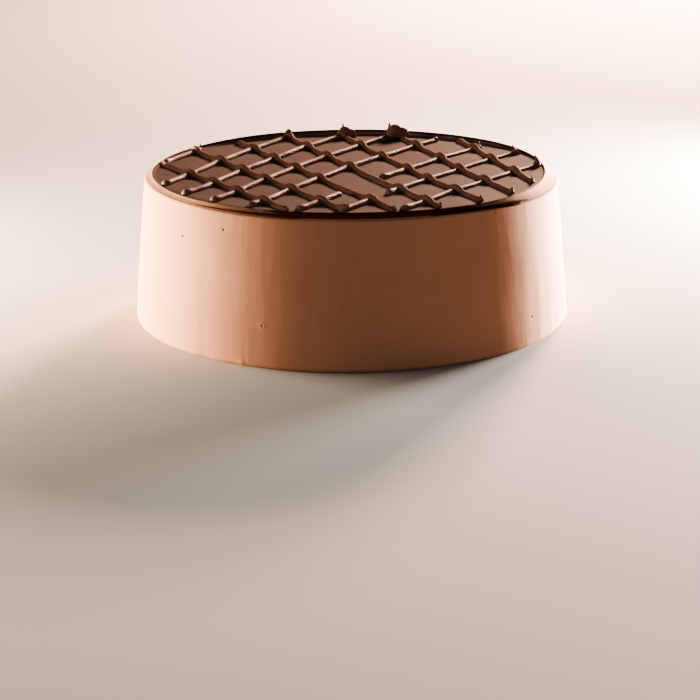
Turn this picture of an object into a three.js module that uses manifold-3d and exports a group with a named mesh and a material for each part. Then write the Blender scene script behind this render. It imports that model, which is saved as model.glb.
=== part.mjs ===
// Chocolate mousse cake: a tapered, spatula-smoothed mousse body with a bevelled rim, a dark ganache
// layer poured inside the rim and spilling over it at the front, and a lattice of piped ganache strands.
// Millimetres, +Z up, the foot's centre at the origin. The front of the cake faces -Y.

import * as THREE from 'three';
import { ParametricGeometry } from 'three/addons/geometries/ParametricGeometry.js';
import { mergeVertices } from 'three/addons/utils/BufferGeometryUtils.js';
import Module from 'manifold-3d';

// Driving dimensions of the body
const FOOT_RADIUS = 104;
const FOOT_ROUNDING = 3;
const WALL_TOP_RADIUS = 98.2;
const WALL_TOP_HEIGHT = 68;
const WALL_BULGE = 0.35;
const EDGE_INSET = 0.9;
const EDGE_ROUNDING = 0.65;
const WALL_UNEVENNESS = 0.3;
const HAND_WAVES = [
  { turns: 2, weight: 0.5, lag: 1 },
  { turns: 5, weight: 0.3, lag: -2 },
  { turns: 9, weight: 0.2, lag: 3 },
];

// Rim: the coat is drawn inwards over the top edge as a bevel that ends in a lip. At the front the lip
// stands further out and higher, so that the bevel is steep there. At the left the wall's edge rises
// towards the lip, and at the right it drops, so that the bevel is tall there.
const LIP_RADIUS = 94.6;
const LIP_HEIGHT = 70.5;
const LIP_UNEVENNESS = 0.25;
const FRONT_LIP_OUT = 1.2;
const FRONT_LIP_RISE = 1.2;
const FRONT_SPREAD = 75;
const RIGHT_BEVEL_EXTRA = 2;
const RIGHT_BEVEL_BEARING = 85;
const RIGHT_BEVEL_SPREAD = 45;
const LEFT_EDGE_RISE = 0.5;
const LEFT_EDGE_BEARING = -75;
const LEFT_EDGE_SPREAD = 60;
const RIGHT_EDGE_DROP = 2.4;
const RIGHT_EDGE_SPREAD = 65;

// Ganache layer inside the rim: its height on the axis, and how much its face falls from front to back
const GANACHE_HEIGHT = 69.75;
const GANACHE_FALL = 0.0184;
const GANACHE_FLOOR = 64;
const GANACHE_CREEP = 3.4;
const POOL_INSET = 2.4;
const FIT_GAP = 0.3;

// Ganache spilled over the front of the rim, by bearing from the front, positive to the right
const SPILL_THICKNESS = 1.4;
const SPILL_LEFT = -18;
const SPILL_RIGHT = 30;
const SPILL_FADE = 13;
const SPILL_LEAST = 0.12;
const SPILL_MOST = 0.88;
const SPILL_TAIL_END = 57;
const SPILL_TAIL_RADIUS = 1.2;
const SPILL_TAIL_PLACE = 0.6;
const SPILL_TAIL_END_PLACE = 0.9;
const SPILL_TAIL_TAPER = 0.8;

// Piped lattice: an upper layer of strands laid across a lower one. A layer's strands are sunk into what
// they lie on, the lower ones deeper at the right. Each strand has its own stray to the side, its skew,
// the swing of its second half, the hook of its start, the inset of its end from the lip and the rise of
// its drawn-up tail.
const STRAND_DIAMETER = 3.4;
const STRAND_END_INSET = 2.6;
const FRONT_END_INSET = 2;
const CROSSING_RISE = 1.75;
const CROSSING_SPAN = 5;
const TAIL_LENGTH = 4.5;
const TAIL_TIP_RADIUS = 0.3;
const START_BULGE = 1.12;
const START_DIP = 0.4;
const HOOK_LENGTH = 22;
const BOW_REACH = 90;
const RIGHT_SINK_REACH = 70;
const LOWER_STRANDS = {
  spacing: 22.65,
  shift: -0.77,
  angle: 60.6,
  fan: -1.6,
  bow: 4.9,
  sink: 1.35,
  rightSink: 0.6,
  first: -4,
  stray: [1.2, 2.2, 0.2, -1.9, -2.0, 1.65, -0.7, 1.0],
  skew: [0, 0, 0, 0, 0, 0, 0, 0],
  swing: [0, 0, 0, 0, 0, 0, 0, 0],
  hook: [0, -1.5, -2.5, -2.5, -2.5, -2.5, -1.5, -1.5],
  endInset: [2.6, 3.6, 6.8, 8.0, 7.6, 11.0, 3.9, 2.7],
  tailRise: [3.6, 3.6, 6.8, 5.4, 1.3, 3.9, 4.4, 5.9],
};
const UPPER_STRANDS = {
  spacing: 24.2,
  shift: 3.3,
  angle: -68.1,
  fan: -2.21,
  bow: 0,
  sink: 1.75,
  rightSink: 0,
  first: -3,
  stray: [-0.4, -0.4, -1.2, -1.6, -2.0, -2.1, -3.4],
  skew: [2.0, 1.6, 0, 0, 0, 0, 0],
  swing: [0, 0, 2, 3, 5, 5, 0],
  hook: [0, 0, 0, 0, 0, 0, 0],
  endInset: [2.6, 2.6, 2.6, 2.6, 2.6, 2.6, 2.6],
  tailRise: [1.6, 2.0, 2.4, 2.6, 3.0, 3.2, 3.0],
};
// Two lower strands are broken, over these stretches from their middles
const BROKEN_STRETCHES = new Map([
  [1, [-49.3, -11]],
  [2, [-50.7, -39.2]],
]);
// Ganache piled up beside the back ends of two lower strands, each from a start to the right of the end,
// with a crest at a share of its width and the share of its height that is lost at its right end
const LUMP_CREST = 0.35;
const LUMPS = [
  { place: -2, start: -2.6, width: 9.5, radius: 2.6, lift: 2.3, fall: 0.7 },
  { place: -1, start: -2.2, width: 11.5, radius: 3.3, lift: 3.2, fall: 0.6 },
];

// Fineness of the facets
const ROUND_STEPS = 80;
const STRAND_SIDES = 7;
const LOWER_STEP = 10;
const UPPER_STEP = 4.2;
const SPILL_TAIL_STEPS = 6;
const MERGE_TOLERANCE = 0.02;

const DEGREE = Math.PI / 180;
const mix = THREE.MathUtils.lerp;
const smooth = THREE.MathUtils.smoothstep;

const wasm = await Module();
wasm.setup();

// A bump of height 1 at a bearing, falling smoothly to 0 at the spread on both sides of it.
function bump(bearing, centre, spread) {
  const turn = THREE.MathUtils.euclideanModulo(bearing - centre + 180, 360) - 180;
  return Math.abs(turn) < spread ? 0.5 + 0.5 * Math.cos((Math.PI * turn) / spread) : 0;
}

// Hand-made unevenness: a few slow waves round the cake, between -1 and 1.
function handWave(bearing, phase) {
  const angle = bearing * DEGREE;
  const waves = HAND_WAVES.map(({ turns, weight, lag }) => weight * Math.sin(turns * angle + lag * phase));
  return waves.reduce((sum, wave) => sum + wave, 0);
}

function lipRadius(bearing) {
  const front = FRONT_LIP_OUT * bump(bearing, 0, FRONT_SPREAD);
  const right = RIGHT_BEVEL_EXTRA * bump(bearing, RIGHT_BEVEL_BEARING, RIGHT_BEVEL_SPREAD);
  return LIP_RADIUS + front - right + LIP_UNEVENNESS * handWave(bearing, 1);
}

function lipHeight(bearing) {
  const front = FRONT_LIP_RISE * bump(bearing, 0, FRONT_SPREAD);
  return LIP_HEIGHT + front + LIP_UNEVENNESS * handWave(bearing, 2.2);
}

// Height of the ganache's face at a place to the back of the axis.
function faceHeight(y) {
  return GANACHE_HEIGHT - GANACHE_FALL * y;
}

// The share of the bevel, from the lip outwards, that the spilled ganache covers.
function spillShare(bearing) {
  const turn = THREE.MathUtils.euclideanModulo(bearing + 180, 360) - 180;
  const left = smooth(turn, SPILL_LEFT - SPILL_FADE, SPILL_LEFT);
  const right = 1 - smooth(turn, SPILL_RIGHT, SPILL_RIGHT + SPILL_FADE);
  return mix(SPILL_LEAST, SPILL_MOST, left * right);
}

function wallRadius(bearing, height) {
  const climb = height / WALL_TOP_HEIGHT;
  const bulge = WALL_BULGE * Math.sin(Math.PI * climb);
  const uneven = WALL_UNEVENNESS * Math.sin(Math.PI * climb) * handWave(bearing, 3 * climb);
  return mix(FOOT_RADIUS, WALL_TOP_RADIUS, climb) + bulge + uneven;
}

// How far the wall's edge drops at the right.
function edgeDrop(bearing) {
  return RIGHT_EDGE_DROP * bump(bearing, RIGHT_BEVEL_BEARING, RIGHT_EDGE_SPREAD);
}

// Points and directions on the rim at one bearing that the body and the ganache share. The seat of the
// spilled ganache lies square under the bevel.
function rimPoints(bearing) {
  const share = spillShare(bearing);
  const lip = new THREE.Vector2(lipRadius(bearing), lipHeight(bearing));
  const rise = LEFT_EDGE_RISE * bump(bearing, LEFT_EDGE_BEARING, LEFT_EDGE_SPREAD);
  const edgeHeight = WALL_TOP_HEIGHT + EDGE_ROUNDING + rise - edgeDrop(bearing);
  const edge = new THREE.Vector2(WALL_TOP_RADIUS - EDGE_INSET, edgeHeight);
  const spillEdge = lip.clone().lerp(edge, share);
  const outwards = edge.clone().sub(lip).normalize();
  const under = new THREE.Vector2(outwards.y, -outwards.x);
  const depth = SPILL_THICKNESS * share + FIT_GAP;
  const seatEdge = spillEdge.clone().addScaledVector(under, depth);
  const seatLip = lip.clone().addScaledVector(under, depth);
  const poolFoot = new THREE.Vector2(lip.x - POOL_INSET, GANACHE_FLOOR);
  return { share, lip, edge, outwards, under, spillEdge, seatEdge, seatLip, poolFoot };
}

// Outline of the body at one bearing, from the axis under the foot to the axis on the pool's floor.
function bodyOutline(bearing) {
  const rim = rimPoints(bearing);
  const outline = [new THREE.Vector2(0, 0)];
  for (const turn of [0, 30, 60, 90]) {
    const inset = FOOT_ROUNDING * (1 - Math.sin(turn * DEGREE));
    const height = FOOT_ROUNDING * (1 - Math.cos(turn * DEGREE));
    outline.push(new THREE.Vector2(wallRadius(bearing, height) - inset, height));
  }
  for (const share of [0.25, 0.5, 0.75, 1]) {
    const height = mix(FOOT_ROUNDING, WALL_TOP_HEIGHT - edgeDrop(bearing), share);
    outline.push(new THREE.Vector2(wallRadius(bearing, height), height));
  }
  outline.push(rim.edge, rim.spillEdge, rim.seatEdge, rim.seatLip, rim.poolFoot);
  outline.push(new THREE.Vector2(0, rim.poolFoot.y));
  return outline;
}

// Outline of the ganache layer at one bearing: its floor, its seat on the rim, and its upper face.
function ganacheOutline(bearing) {
  const { share, lip, outwards, under, spillEdge, seatEdge, seatLip, poolFoot } = rimPoints(bearing);
  const front = Math.cos(bearing * DEGREE);
  const levelAt = (radius) => faceHeight(-radius * front);
  const creepEnd = lip.x - GANACHE_CREEP;
  const creepMiddle = lip.x - 0.5 * GANACHE_CREEP;
  const clear = new THREE.Vector2(-FIT_GAP, 0);
  const lift = under.clone().multiplyScalar(-FIT_GAP);
  const back = outwards.clone().multiplyScalar(-FIT_GAP);
  return [
    new THREE.Vector2(0, poolFoot.y),
    poolFoot.clone().add(clear),
    seatLip.clone().add(clear),
    seatLip.clone().add(lift),
    seatEdge.clone().add(lift).add(back),
    spillEdge.clone().add(back),
    new THREE.Vector2(lip.x - 3 * FIT_GAP + share, lip.y),
    new THREE.Vector2(creepMiddle, mix(levelAt(creepMiddle), lip.y, 0.4)),
    new THREE.Vector2(creepEnd, levelAt(creepEnd)),
    new THREE.Vector2(0, GANACHE_HEIGHT),
  ];
}

// Turns an outline, which may change with the bearing, into a closed surface about the axis.
function turnedGeometry(outlineAt) {
  const rows = outlineAt(0).length - 1;
  function surface(u, v, target) {
    const bearing = 360 * u;
    const outline = outlineAt(bearing);
    const row = Math.min(Math.floor(v * rows), rows - 1);
    const point = outline[row].clone().lerp(outline[row + 1], v * rows - row);
    const angle = (bearing - 90) * DEGREE;
    target.set(point.x * Math.cos(angle), point.x * Math.sin(angle), point.y);
  }
  return new ParametricGeometry(surface, ROUND_STEPS, rows);
}

// A closed tube through stations, each with a centre, the directions along and across it, and a radius.
function tubeGeometry(stations) {
  const last = stations.length - 1;
  function surface(u, v, target) {
    const row = Math.min(Math.floor(v * last), last - 1);
    const share = v * last - row;
    const near = stations[row];
    const far = stations[row + 1];
    const radius = mix(near.radius, far.radius, share);
    const along = near.along.clone().lerp(far.along, share).normalize();
    const sideways = near.sideways.clone().lerp(far.sideways, share).normalize();
    const across = along.cross(sideways).normalize();
    const angle = 2 * Math.PI * u;
    target.copy(near.centre).lerp(far.centre, share);
    target.addScaledVector(sideways, radius * Math.cos(angle));
    target.addScaledVector(across, radius * Math.sin(angle));
  }
  return new ParametricGeometry(surface, STRAND_SIDES, last);
}

// A closed solid of a geometry's surface, without the triangles that shrink to a line at its poles.
function solidOf(geometry) {
  const bare = geometry.clone();
  bare.deleteAttribute('normal');
  bare.deleteAttribute('uv');
  const merged = mergeVertices(bare);
  const corners = merged.index.array;
  const triangles = [];
  for (let i = 0; i < corners.length; i += 3) {
    const triangle = [corners[i], corners[i + 1], corners[i + 2]];
    if (new Set(triangle).size === 3) triangles.push(...triangle);
  }
  const vertProperties = new Float32Array(merged.attributes.position.array);
  const triVerts = new Uint32Array(triangles);
  return new wasm.Manifold(new wasm.Mesh({ numProp: 3, vertProperties, triVerts }));
}

function geometryOf(solid) {
  const mesh = solid.getMesh();
  const geometry = new THREE.BufferGeometry();
  geometry.setAttribute('position', new THREE.BufferAttribute(mesh.vertProperties, 3));
  geometry.setIndex(new THREE.BufferAttribute(mesh.triVerts, 1));
  geometry.computeVertexNormals();
  return geometry;
}

// The plan lines of one layer, each with its direction, its sideways direction, its offset from the axis,
// and the bow, swing and hook that add to it.
function layerLines(layer) {
  const { spacing, shift, angle, fan, bow, sink, rightSink, first, stray, skew } = layer;
  return stray.map((drift, index) => {
    const place = first + index;
    const heading = (angle + fan * place + skew[index]) * DEGREE;
    const along = new THREE.Vector2(Math.cos(heading), Math.sin(heading));
    const side = heading > 0 ? -1 : 1;
    const sideways = new THREE.Vector2(-side * along.y, side * along.x);
    const offset = shift + spacing * place + drift;
    const shape = { bow, sink, rightSink, swing: layer.swing[index], hook: layer.hook[index] };
    const end = { endInset: layer.endInset[index], tailRise: layer.tailRise[index] };
    return { place, along, sideways, offset, ...shape, ...end };
  });
}

// Distance of a line from the axis, which grows with the square of the distance along the line, and by
// its swing in its second half only.
function lineOffset(line, distance) {
  const share = distance / BOW_REACH;
  return line.offset + line.bow * share ** 2 + line.swing * Math.max(share, 0) ** 2;
}

function planPoint(line, distance) {
  const aside = lineOffset(line, distance);
  return line.sideways.clone().multiplyScalar(aside).addScaledVector(line.along, distance);
}

// How far a line runs from its middle, in the given sense, before it comes to the rim less an inset.
function reach(line, sense) {
  const endInset = sense > 0 ? line.endInset : STRAND_END_INSET;
  let distance = 0;
  for (let pass = 0; pass < 6; pass += 1) {
    const point = planPoint(line, sense * distance);
    const bearing = Math.atan2(point.x, -point.y) / DEGREE;
    const inset = mix(endInset, FRONT_END_INSET, bump(bearing, 0, FRONT_SPREAD));
    const aside = Math.abs(lineOffset(line, sense * distance));
    const limit = Math.max(lipRadius(bearing) - inset, aside);
    distance = Math.sqrt(limit ** 2 - aside ** 2);
  }
  return distance;
}

// Distance along a line at which another line crosses it in plan, found by taking both as straight at
// their last distances from the axis, a few times.
function crossingDistance(line, other) {
  const turn = other.sideways.dot(line.sideways);
  let here = 0;
  let there = 0;
  for (let pass = 0; pass < 8; pass += 1) {
    const mine = lineOffset(line, here);
    const its = lineOffset(other, there);
    here = (its - turn * mine) / other.sideways.dot(line.along);
    there = (mine - turn * its) / line.sideways.dot(other.along);
  }
  return here;
}

// Distances along a strand of its stations: close together at its ends, a step apart between them.
function stationDistances(from, to, step) {
  const radius = STRAND_DIAMETER / 2;
  const distances = [from, from + 0.25 * radius, from + radius];
  const first = from + 2 * radius;
  const last = to - TAIL_LENGTH;
  const count = Math.max(1, Math.round((last - first) / step));
  for (let i = 0; i <= count; i += 1) distances.push(mix(first, last, i / count));
  for (const share of [0.4, 0.65, 0.85, 1]) distances.push(mix(last, to, share));
  return distances;
}

// Height of a strand's centre where it lies on the ganache's face.
function restingHeight(line, distance) {
  const { x, y } = planPoint(line, distance);
  const sink = line.sink + line.rightSink * smooth(x, 0, RIGHT_SINK_REACH);
  return faceHeight(y) + STRAND_DIAMETER / 2 - sink;
}

// One strand from a round, slightly swollen start to a tail that is drawn up to a point. A start on the rim
// is pressed down a little and swings aside by the strand's hook.
function strandSolid(line, from, to, step, heightAt, tailRise) {
  const radius = STRAND_DIAMETER / 2;
  const distances = stationDistances(from, to, step);
  const rim = from === -reach(line, -1) ? 1 : 0;
  const centres = distances.map((distance) => {
    const hooked = rim * line.hook * Math.max(1 - (distance - from) / HOOK_LENGTH, 0) ** 2;
    const point = planPoint(line, distance).addScaledVector(line.sideways, hooked);
    const dip = rim * START_DIP * (1 - smooth(distance, from, from + 2 * radius));
    const drawn = smooth(distance, to - TAIL_LENGTH, to);
    return new THREE.Vector3(point.x, point.y, heightAt(distance) - dip + tailRise * drawn ** 2);
  });
  const sideways = new THREE.Vector3(line.sideways.x, line.sideways.y, 0);
  const stations = distances.map((distance, index) => {
    const before = centres[Math.max(index - 1, 0)];
    const after = centres[Math.min(index + 1, centres.length - 1)];
    const along = after.clone().sub(before).normalize();
    const start = Math.min((distance - from) / radius, 1);
    const swell = mix(START_BULGE, 1, smooth(distance, from + radius, from + 4 * radius));
    const taper = mix(1, TAIL_TIP_RADIUS / radius, smooth(distance, to - TAIL_LENGTH, to));
    const round = Math.sqrt(1 - (1 - start) ** 2);
    return { centre: centres[index], along, sideways, radius: radius * round * swell * taper };
  });
  stations.push({ ...stations.at(-1), radius: 0 });
  return solidOf(tubeGeometry(stations));
}

// The stretches of a lower strand between its ends and its breaks.
function lowerStretches(line) {
  const whole = [-reach(line, -1), reach(line, 1)];
  const broken = BROKEN_STRETCHES.get(line.place);
  return broken ? [[whole[0], broken[0]], [broken[1], whole[1]]] : [whole];
}

function lowerStrands(lines) {
  return lines.flatMap((line) =>
    lowerStretches(line).map(([from, to], index, all) => {
      const rise = index === all.length - 1 ? line.tailRise : 0;
      return strandSolid(line, from, to, LOWER_STEP, (distance) => restingHeight(line, distance), rise);
    }),
  );
}

// The upper strands rise where they cross a lower one and sag onto the layer between the crossings.
function upperStrands(lines, lowerLines) {
  return lines.map((line) => {
    const crossings = lowerLines
      .filter((lower) => lowerStretches(lower).some(([from, to]) => {
        const distance = crossingDistance(lower, line);
        return distance > from && distance < to;
      }))
      .map((lower) => crossingDistance(line, lower));
    const heightAt = (distance) => {
      const rises = crossings.map((crossing) => Math.exp(-(((distance - crossing) / CROSSING_SPAN) ** 2)));
      return restingHeight(line, distance) + CROSSING_RISE * Math.max(0, ...rises);
    };
    return strandSolid(line, -reach(line, -1), reach(line, 1), UPPER_STEP, heightAt, line.tailRise);
  });
}

// A lump beside the back end of a strand: a short fat roll with half round ends that sinks to both sides
// of its crest.
function lumpSolid({ start, width, radius, lift, fall }, line) {
  const end = planPoint(line, reach(line, 1));
  const y = end.y - radius;
  const along = new THREE.Vector3(1, 0, 0);
  const sideways = new THREE.Vector3(0, 1, 0);
  const stations = [0, 0.07, 0.2, 0.35, 0.6, 0.8, 0.93, 1].map((share) => {
    const near = Math.min((Math.min(share, 1 - share) * width) / radius, 1);
    const lost = (fall * Math.abs(share - LUMP_CREST)) / (1 - LUMP_CREST);
    const height = faceHeight(y) + lift * (1 - lost);
    const centre = new THREE.Vector3(end.x + start + width * share, y, height);
    const thick = radius * (1 - 0.5 * lost);
    return { centre, along, sideways, radius: thick * Math.sqrt(1 - (1 - near) ** 2) };
  });
  return solidOf(tubeGeometry(stations));
}

// The pointed tail in which the spill ends at the right, sunk in the bevel and running out to the wall.
function spillTail(clearance) {
  const steps = SPILL_TAIL_STEPS;
  const stations = [];
  for (let i = 0; i <= steps; i += 1) {
    const bearing = mix(SPILL_RIGHT - SPILL_FADE, SPILL_TAIL_END, i / steps);
    const { lip, edge } = rimPoints(bearing);
    const seat = lip.clone().lerp(edge, mix(SPILL_TAIL_PLACE, SPILL_TAIL_END_PLACE, (i / steps) ** 2));
    const angle = (bearing - 90) * DEGREE;
    const outwards = new THREE.Vector3(Math.cos(angle), Math.sin(angle), 0);
    const along = new THREE.Vector3(-Math.sin(angle), Math.cos(angle), 0);
    const centre = outwards.clone().multiplyScalar(seat.x).setZ(seat.y - 0.5 * SPILL_TAIL_RADIUS);
    const radius = SPILL_TAIL_RADIUS * (1 - SPILL_TAIL_TAPER * (i / steps) ** 2) + clearance;
    stations.push({ centre, along, sideways: outwards, radius });
  }
  const closed = [{ ...stations[0], radius: 0 }, ...stations, { ...stations.at(-1), radius: 0 }];
  return solidOf(tubeGeometry(closed));
}

function mousseBody() {
  return solidOf(turnedGeometry(bodyOutline)).subtract(spillTail(FIT_GAP));
}

function ganacheTop() {
  const lowerLines = layerLines(LOWER_STRANDS);
  const upperLines = layerLines(UPPER_STRANDS);
  const lumps = LUMPS.map((lump) => lumpSolid(lump, lowerLines.find((line) => line.place === lump.place)));
  const strands = [...lowerStrands(lowerLines), ...upperStrands(upperLines, lowerLines)];
  const pieces = [spillTail(0), ...strands, ...lumps];
  const layer = solidOf(turnedGeometry(ganacheOutline));
  return pieces.reduce((whole, piece) => whole.add(piece), layer).simplify(MERGE_TOLERANCE);
}

function partMesh(name, solid, color, roughness) {
  const material = new THREE.MeshStandardMaterial({ color, roughness, metalness: 0 });
  const mesh = new THREE.Mesh(geometryOf(solid), material);
  mesh.name = name;
  return mesh;
}

const cake = new THREE.Group();
cake.name = 'chocolate_mousse_cake';
cake.add(partMesh('mousse_body', mousseBody(), 0xc09874, 0.55));
cake.add(partMesh('ganache_top', ganacheTop(), 0x79523e, 0.5));

export default cake;
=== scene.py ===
"""Chocolate mousse cake: a smoothed milk chocolate mousse body under poured and piped dark ganache.

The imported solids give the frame. Fine surfaces stand for them here, each worked out as whole numpy
arrays in millimetres and put into Blender in metres. A bearing is an angle in degrees from the front
of the cake (-Y), positive to the right (+X).
"""

import logging
import math
from dataclasses import astuple, dataclass
from enum import Enum

import bpy
import numpy as np
from mathutils import Matrix, Vector
from numpy.typing import NDArray


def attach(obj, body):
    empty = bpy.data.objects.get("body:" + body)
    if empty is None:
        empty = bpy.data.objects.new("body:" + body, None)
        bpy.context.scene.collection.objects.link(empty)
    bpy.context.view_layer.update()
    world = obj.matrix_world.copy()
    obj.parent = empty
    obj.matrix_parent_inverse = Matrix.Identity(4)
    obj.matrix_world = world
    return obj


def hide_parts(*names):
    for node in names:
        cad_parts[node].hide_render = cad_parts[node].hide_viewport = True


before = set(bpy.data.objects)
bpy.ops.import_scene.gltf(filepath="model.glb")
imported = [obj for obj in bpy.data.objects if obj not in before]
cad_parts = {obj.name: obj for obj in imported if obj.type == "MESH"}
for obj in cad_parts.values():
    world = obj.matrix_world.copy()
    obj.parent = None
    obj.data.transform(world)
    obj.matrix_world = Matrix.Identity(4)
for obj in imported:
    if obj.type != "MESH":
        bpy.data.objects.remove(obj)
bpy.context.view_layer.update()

Array = NDArray[np.float64]
Socket = bpy.types.NodeSocket

MM = 0.001
BODY = "root"
LOG = logging.getLogger("cake")


class Slot(Enum):
    """The record's material slots."""

    MOUSSE = "milk_chocolate_mousse"
    GANACHE = "dark_ganache"


class Node(Enum):
    """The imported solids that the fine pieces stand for."""

    MOUSSE = "mousse_body"
    GANACHE = "ganache_top"


def linear(code: str) -> tuple[float, float, float, float]:
    """Turns an sRGB hex colour into a linear one.

    Args:
        code: Six hex digits after a #.

    Returns:
        Linear red, green and blue, and an alpha of 1.
    """
    shares = np.array([int(code[i : i + 2], 16) / 255 for i in (1, 3, 5)])
    low = shares / 12.92
    high = ((shares + 0.055) / 1.055) ** 2.4
    red, green, blue = np.where(shares <= 0.04045, low, high)
    return float(red), float(green), float(blue), 1.0


def per_metre(width_mm: float) -> float:
    """The scale at which a pattern's feature is this many millimetres wide."""
    return 1 / (width_mm * MM)


def add_node(tree: bpy.types.NodeTree, kind: str, inputs: dict, **settings: object) -> bpy.types.Node:
    """Adds a node with its settings, its values and its links.

    Args:
        tree: The node tree that takes it.
        kind: The node's type name.
        inputs: For each input's name or number, a value, or the output that is linked to it.
        settings: The node's own properties.

    Returns:
        The new node.
    """
    node = tree.nodes.new(kind)
    for name, value in settings.items():
        setattr(node, name, value)
    for key, value in inputs.items():
        if isinstance(value, bpy.types.NodeSocket):
            tree.links.new(value, node.inputs[key])
        else:
            node.inputs[key].default_value = value
    return node


def smooth(value: Array, low: float, high: float) -> Array:
    """Rises from 0 at low to 1 at high along 3t^2 - 2t^3."""
    t = np.clip((value - low) / (high - low), 0, 1)
    return t * t * (3 - 2 * t)


def swell(bearing: Array, centre: float, spread: float) -> Array:
    """A raised cosine: 1 at the centre bearing, 0 at the spread on both sides of it."""
    turn = (bearing - centre + 180) % 360 - 180
    return np.where(np.abs(turn) < spread, 0.5 + 0.5 * np.cos(np.pi * turn / spread), 0)


def turned(bearing: Array, radius: Array, height: Array) -> Array:
    """Points at bearings, radii and heights: x = r sin b, y = -r cos b."""
    angle = np.radians(bearing)
    return np.stack(np.broadcast_arrays(radius * np.sin(angle), -radius * np.cos(angle), height), -1)


@dataclass
class Shell:
    """A closed surface: a stack of rings with a pole at each end.

    Attributes:
        rings: Points by ring and by place round the ring.
        first: The pole before the first ring.
        last: The pole after the last ring.
        marks: A value from 0 to 1 for each point of the rings, for the finish.
    """

    rings: Array
    first: Array
    last: Array
    marks: Array | None = None

    def points(self) -> Array:
        """The first pole, the rings' points in order, and the last pole."""
        return np.concatenate([self.first[None], self.rings.reshape(-1, 3), self.last[None]])

    def values(self) -> Array:
        """The marks in the order of the points, 0 where there are none.

        Returns:
            One mark for each point.
        """
        if self.marks is None:
            return np.zeros(len(self.rings.reshape(-1, 3)) + 2)
        return np.concatenate([[0], self.marks.ravel(), [0]])

    def corners(self) -> tuple[Array, Array]:
        """Joins the points with faces: a fan at each pole and quads between the rings.

        Ring i and ring i + 1 are joined by quads (i,j) (i,j+1) (i+1,j+1) (i+1,j), closed round the ring.

        Returns:
            The corners of all faces in one row, and the number of corners of each face.
        """
        count, around = self.rings.shape[:2]
        index = 1 + np.arange(count * around).reshape(count, around)
        beside = np.roll(index, -1, axis=1)
        quads = np.stack([index[:-1], beside[:-1], beside[1:], index[1:]], -1).reshape(-1, 4)
        pole = np.zeros(around, int)
        end = pole + count * around + 1
        first = np.stack([pole, beside[0], index[0]], -1)
        last = np.stack([end, index[-1], beside[-1]], -1)
        sizes = np.concatenate([np.full(around, 3), np.full(len(quads), 4), np.full(around, 3)])
        return np.concatenate([first.ravel(), quads.ravel(), last.ravel()]), sizes


def make_piece(name: str, shells: list[Shell], mark: str | None = None) -> bpy.types.Object:
    """Puts closed surfaces into one mesh object at the origin.

    Args:
        name: The piece's name.
        shells: Its closed surfaces, in millimetres.
        mark: The name of the attribute that keeps the shells' marks, if there is one.

    Returns:
        The new object, with smooth faces.
    """
    points = [shell.points() for shell in shells]
    starts = np.cumsum([0] + [len(part) for part in points[:-1]])
    joined = [shell.corners() for shell in shells]
    corners = np.concatenate([part[0] + start for part, start in zip(joined, starts)])
    sizes = np.concatenate([part[1] for part in joined])
    vertices = np.concatenate(points) * MM
    mesh = bpy.data.meshes.new(name)
    mesh.vertices.add(len(vertices))
    mesh.vertices.foreach_set("co", vertices.astype(np.float32).ravel())
    mesh.loops.add(len(corners))
    mesh.loops.foreach_set("vertex_index", corners.astype(np.int32))
    mesh.polygons.add(len(sizes))
    mesh.polygons.foreach_set("loop_start", (np.cumsum(sizes) - sizes).astype(np.int32))
    mesh.polygons.foreach_set("use_smooth", np.ones(len(sizes), bool))
    mesh.update(calc_edges=True)
    if mark:
        values = np.concatenate([shell.values() for shell in shells])
        mesh.attributes.new(mark, "FLOAT", "POINT").data.foreach_set("value", values.astype(np.float32))
    mesh.validate()
    piece = bpy.data.objects.new(name, mesh)
    bpy.context.scene.collection.objects.link(piece)
    return piece


def settle(piece: bpy.types.Object, material: bpy.types.Material, node: Node) -> None:
    """Gives a piece its material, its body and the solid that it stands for.

    Args:
        piece: The finished piece.
        material: Its material.
        node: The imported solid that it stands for.
    """
    piece.data.materials.append(material)
    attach(piece, BODY)
    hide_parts(node.value)
    LOG.info("%s: %d faces", piece.name, len(piece.data.polygons))


# A Mix node's sockets for colours: the share, the two colours and the result.
MIX_SHARE = 0
MIX_FIRST = 6
MIX_SECOND = 7
MIX_RESULT = 2


def new_material(name: str) -> tuple[bpy.types.Material, Socket]:
    """Starts a material with an empty tree.

    Args:
        name: The material's name.

    Returns:
        The material, and the socket that gives a place in Object coordinates.
    """
    material = bpy.data.materials.new(name)
    material.use_nodes = True
    material.node_tree.nodes.clear()
    return material, add_node(material.node_tree, "ShaderNodeTexCoord", {}).outputs["Object"]


def add_relief(
    tree: bpy.types.NodeTree,
    place: Socket,
    scale: float,
    detail: float,
    depth_mm: float,
    below: Socket | None = None,
) -> Socket:
    """Adds fine relief to a surface: a noise that bumps it.

    Args:
        tree: The material's tree.
        place: The coordinates that the noise reads.
        scale: The noise's scale.
        detail: How many finer layers it has.
        depth_mm: How deep it is.
        below: The normal of the relief that it lies on, if there is one.

    Returns:
        The normal of the bumped surface.
    """
    noise = add_node(tree, "ShaderNodeTexNoise", {"Vector": place, "Scale": scale, "Detail": detail})
    inputs = {"Height": noise.outputs["Fac"], "Distance": depth_mm * MM, "Strength": 1.0}
    if below is not None:
        inputs["Normal"] = below
    return add_node(tree, "ShaderNodeBump", inputs).outputs[0]


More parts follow.
